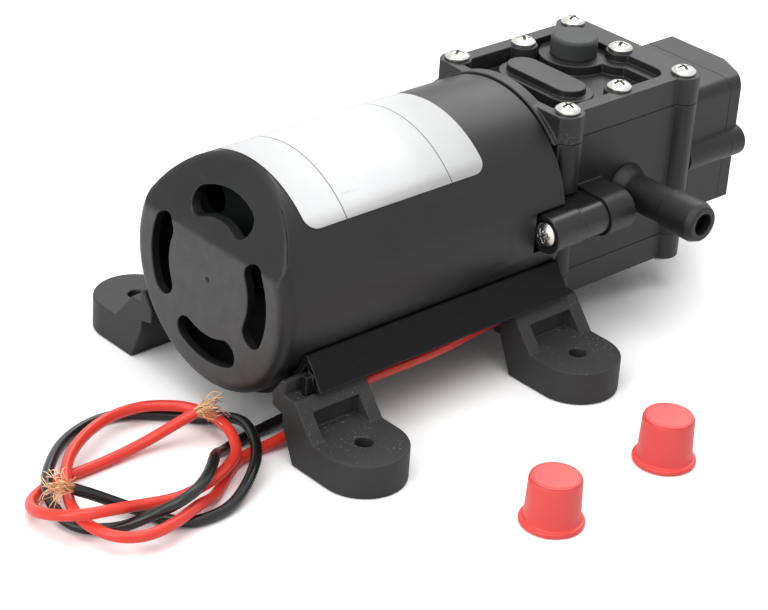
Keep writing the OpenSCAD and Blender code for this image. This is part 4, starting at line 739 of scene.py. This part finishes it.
# %% Finishes of the inside
dark_steel = finish_material(
    "dark_steel", (0.20, 0.20, 0.205), 0.38, metal=1.0, tone=0.2, grain=0.15, scuffs=0.2)
ferrite_grey = finish_material("ferrite_grey", (0.07, 0.068, 0.066), 0.62, tone=0.2, grain=0.3)
board_green = finish_material(
    "board_green", (0.003, 0.007, 0.0055), 0.6, tone=0.2, grain=0.1, specular=0.15)
brush_carbon = finish_material("brush_carbon", (0.03, 0.03, 0.03), 0.55, tone=0.2, grain=0.2)
bush_bronze = finish_material("bush_bronze", (0.48, 0.34, 0.15), 0.42, metal=1.0, tone=0.2, grain=0.2)
wound_copper = finish_material(
    "wound_copper", (0.62, 0.26, 0.12), 0.34, metal=1.0, tone=0.25, grain=0.5, grain_scale=1100)
cream_plastic = finish_material("cream_plastic", (0.66, 0.64, 0.56), 0.45, tone=0.08, grain=0.1)
brown_rubber = finish_material("brown_rubber", (0.16, 0.06, 0.04), 0.6, tone=0.15, grain=0.15)
button_red = finish_material("button_red", (0.60, 0.03, 0.025), 0.35, tone=0.08, grain=0.05)
print("finishes in all:", len(made_finishes))

# %% [markdown]
# The label's paper is white, with a thin dark rule near each end. The rules could be thin pieces of their
# own, but two sheets that lie so close can flicker. Drawn by distance along the sleeve, they stay sharp
# at any size. Faint grey rub marks break up the white.

# %% Label paper
RULES_X, RULE_W, RULE_CORE, RULE_INK = (-23.9, 8.0), 0.16, 0.6, (0.10, 0.10, 0.11)
PAPER_SCALE, PAPER_ROUGH = 700.0, (0.34, 0.46)
PAPER_TONES = ((0.86, 0.865, 0.875), (0.90, 0.905, 0.91))
MARK_SHARE, MARK_GREY = 0.35, (0.52, 0.53, 0.55)


def paper_material():
    material = bpy.data.materials.new("label_paper")
    material.use_nodes = True
    tree = material.node_tree
    shader = tree.nodes["Principled BSDF"]
    place = add(tree, "ShaderNodeSeparateXYZ")
    tree.links.new(tree.nodes.new("ShaderNodeTexCoord").outputs["Object"], place.inputs[0])
    paper = place_group(tree, "moulded_grain", Scale=PAPER_SCALE)
    shown = mix_colour(tree, paper.outputs["Tone"], *PAPER_TONES)
    for x in RULES_X:
        off = maths(tree, "ABSOLUTE", maths(tree, "SUBTRACT", place.outputs["X"], x * MM))
        line = stretch(tree, off, RULE_W * MM, RULE_W * RULE_CORE * MM)
        shown = mix_colour(tree, line, shown, RULE_INK)
    marks = place_group(tree, "handling_scuffs", Amount=MARK_SHARE).outputs["Mask"]
    shown = mix_colour(tree, marks, shown, MARK_GREY)
    tree.links.new(shown, shader.inputs["Base Color"])
    roughness = stretch(tree, paper.outputs["Tone"], 0.0, 1.0, *PAPER_ROUGH)
    tree.links.new(roughness, shader.inputs["Roughness"])
    return material


label_paper = paper_material()
print("label rules:", len(RULES_X))

# %% [markdown]
# Each piece now gets its finish by name. One table makes it easy to see what is made of what, and the print
# shows at once if a piece was forgotten.

# %% Put the finishes on
finishes = {
    sleeve_black: ("motor_sleeve",),
    head_black: ("pump_body", "outlet_port", "inlet_port", "switch_housing", "switch_cover"),
    cover_black: ("top_cover", "bottom_cover"),
    collar_black: ("motor_flange", "adapter_plate", "microswitch"),
    plate_black: ("base_plate",),
    foot_rubber: ("foot_rear_near", "foot_rear_far", "foot_front_near", "foot_front_far"),
    plug_rubber: ("bypass_plug",),
    soft_rubber: ("lead_grommet", "upper_diaphragm", "lower_diaphragm", "upper_gasket", "lower_gasket",
                  "switch_diaphragm"),
    bright_steel: ("base_screws", "ear_screws", "top_screws", "bottom_screws", "switch_screws",
                   "retainer_screws", "motor_shaft", "front_bearing", "eccentric_bearing", "switch_spring"),
    dark_steel: ("motor_can", "armature_core", "eccentric"),
    ferrite_grey: ("magnets",),
    board_green: ("brush_board",),
    brush_carbon: ("brushes",),
    bush_bronze: ("rear_bearing",),
    wound_copper: ("armature_winding", "commutator", "copper_red", "copper_black"),
    cream_plastic: ("yoke", "upper_retainer", "lower_retainer", "upper_valve_plate", "lower_valve_plate",
                    "switch_plunger"),
    brown_rubber: ("upper_inlet_valve", "upper_outlet_valve", "lower_inlet_valve", "lower_outlet_valve"),
    button_red: ("microswitch_button",),
    cap_red: ("port_cap_front", "port_cap_rear"),
    lead_red: ("lead_red",),
    lead_black: ("lead_black",),
    label_paper: ("rating_label",),
}


def wear_finish(obj, material):
    obj.data.materials.clear()
    obj.data.materials.append(material)


for material, names in finishes.items():
    for name in names:
        wear_finish(nodes[name], material)
for obj, material in ((red_lead, lead_red), (black_lead, lead_black), (red_copper, bare_copper),
                      (black_copper, bare_copper), (label_sheet, label_paper)):
    wear_finish(obj, material)
dressed = {n for names in finishes.values() for n in names}
print("finished nodes:", len(dressed), "left plain:", sorted(set(nodes) - dressed))

# %% [markdown]
# The stage is a wide pale floor, a hair below the pump's feet, and it keeps the pump's soft shadow. A
# brighter lamp would turn it white but would also wash out the blacks. So the floor is whiter to the
# camera, and half as much so to shiny surfaces, than to the light that bounces up from it to the pump.
# Further out, where the lamps fall off, a soft glow grows with distance and keeps it white.

# %% Floor
FLOOR_HALF, FLOOR_DROP = 4.0, 0.0001
FLOOR_WHITE, FLOOR_SEEN, SHINY_SHARE = 0.70, 1.4, 0.5
FLOOR_FADE = (0.25, 0.8)

bm = bmesh.new()
bmesh.ops.create_grid(bm, x_segments=1, y_segments=1, size=FLOOR_HALF)
floor = mesh_object("floor", bm)
floor.location.z = -FLOOR_DROP


def matt_white(tree, strength):
    matt = add(tree, "ShaderNodeBsdfDiffuse")
    matt.inputs["Color"].default_value = (strength, strength, strength, 1.0)
    return matt.outputs[0]


def floor_material():
    material = bpy.data.materials.new("floor_white")
    material.use_nodes = True
    tree = material.node_tree
    tree.nodes.clear()
    out = tree.nodes.new("ShaderNodeOutputMaterial")
    ray = tree.nodes.new("ShaderNodeLightPath")
    shiny = maths(tree, "MAXIMUM", ray.outputs["Is Glossy Ray"], ray.outputs["Is Transmission Ray"])
    shiny = maths(tree, "MULTIPLY", shiny, SHINY_SHARE)
    seen = maths(tree, "MAXIMUM", ray.outputs["Is Camera Ray"], shiny)
    pick = tree.nodes.new("ShaderNodeMixShader")
    tree.links.new(seen, pick.inputs[0])
    tree.links.new(matt_white(tree, FLOOR_WHITE), pick.inputs[1])
    tree.links.new(matt_white(tree, FLOOR_SEEN), pick.inputs[2])
    far = add(tree, "ShaderNodeVectorMath", operation="LENGTH")
    tree.links.new(tree.nodes.new("ShaderNodeTexCoord").outputs["Object"], far.inputs[0])
    glow = tree.nodes.new("ShaderNodeEmission")
    strength = stretch(tree, far.outputs["Value"], *FLOOR_FADE)
    tree.links.new(maths(tree, "MULTIPLY", strength, seen), glow.inputs["Strength"])
    both = tree.nodes.new("ShaderNodeAddShader")
    tree.links.new(pick.outputs[0], both.inputs[0])
    tree.links.new(glow.outputs[0], both.inputs[1])
    tree.links.new(both.outputs[0], out.inputs["Surface"])
    return material


wear_finish(floor, floor_material())
print("floor in metres:", [round(side, 1) for side in floor.dimensions[:2]])

# %% [markdown]
# The room is plain white to the camera and to shiny surfaces, and a third as bright as a light, so that
# black stays black. Three lamps do the rest: one above, one high behind the head, and a weak one at the
# left that lights the motor's rear end. Small lamps would draw hard shadows, so these are wide.

# %% World and lamps
ROOM_LIGHT, ROOM_SEEN = 0.33, 1.0


def white_world():
    world = bpy.data.worlds.new("white_room")
    world.use_nodes = True
    tree = world.node_tree
    back_shader = tree.nodes["Background"]
    back_shader.inputs["Color"].default_value = (1.0, 1.0, 1.0, 1.0)
    ray = tree.nodes.new("ShaderNodeLightPath")
    seen = maths(tree, "MAXIMUM", ray.outputs["Is Camera Ray"], ray.outputs["Is Glossy Ray"])
    seen = maths(tree, "MAXIMUM", seen, ray.outputs["Is Transmission Ray"])
    strength = stretch(tree, seen, 0.0, 1.0, ROOM_LIGHT, ROOM_SEEN)
    tree.links.new(strength, back_shader.inputs["Strength"])
    return world


def soft_lamp(name, place, target, width, height, watts):
    data = bpy.data.lights.new(name, "AREA")
    data.shape = "RECTANGLE"
    data.size, data.size_y = width, height
    data.energy = watts
    lamp = bpy.data.objects.new(name, data)
    bpy.context.scene.collection.objects.link(lamp)
    lamp.location = place
    lamp.rotation_euler = (Vector(target) - Vector(place)).to_track_quat("-Z", "Y").to_euler()


bpy.context.scene.world = white_world()
soft_lamp("top_box", (-0.20, -0.15, 0.85), target=(0.02, 0.0, 0.03), width=0.9, height=0.7, watts=4.2)
soft_lamp("back_box", (0.60, 0.38, 0.72), target=(0.03, 0.0, 0.04), width=0.8, height=0.6, watts=5.0)
soft_lamp("left_box", (-0.78, -0.12, 0.40), target=(0.0, 0.0, 0.04), width=0.5, height=0.5, watts=2.3)
bpy.context.scene.view_settings.view_transform = "Standard"
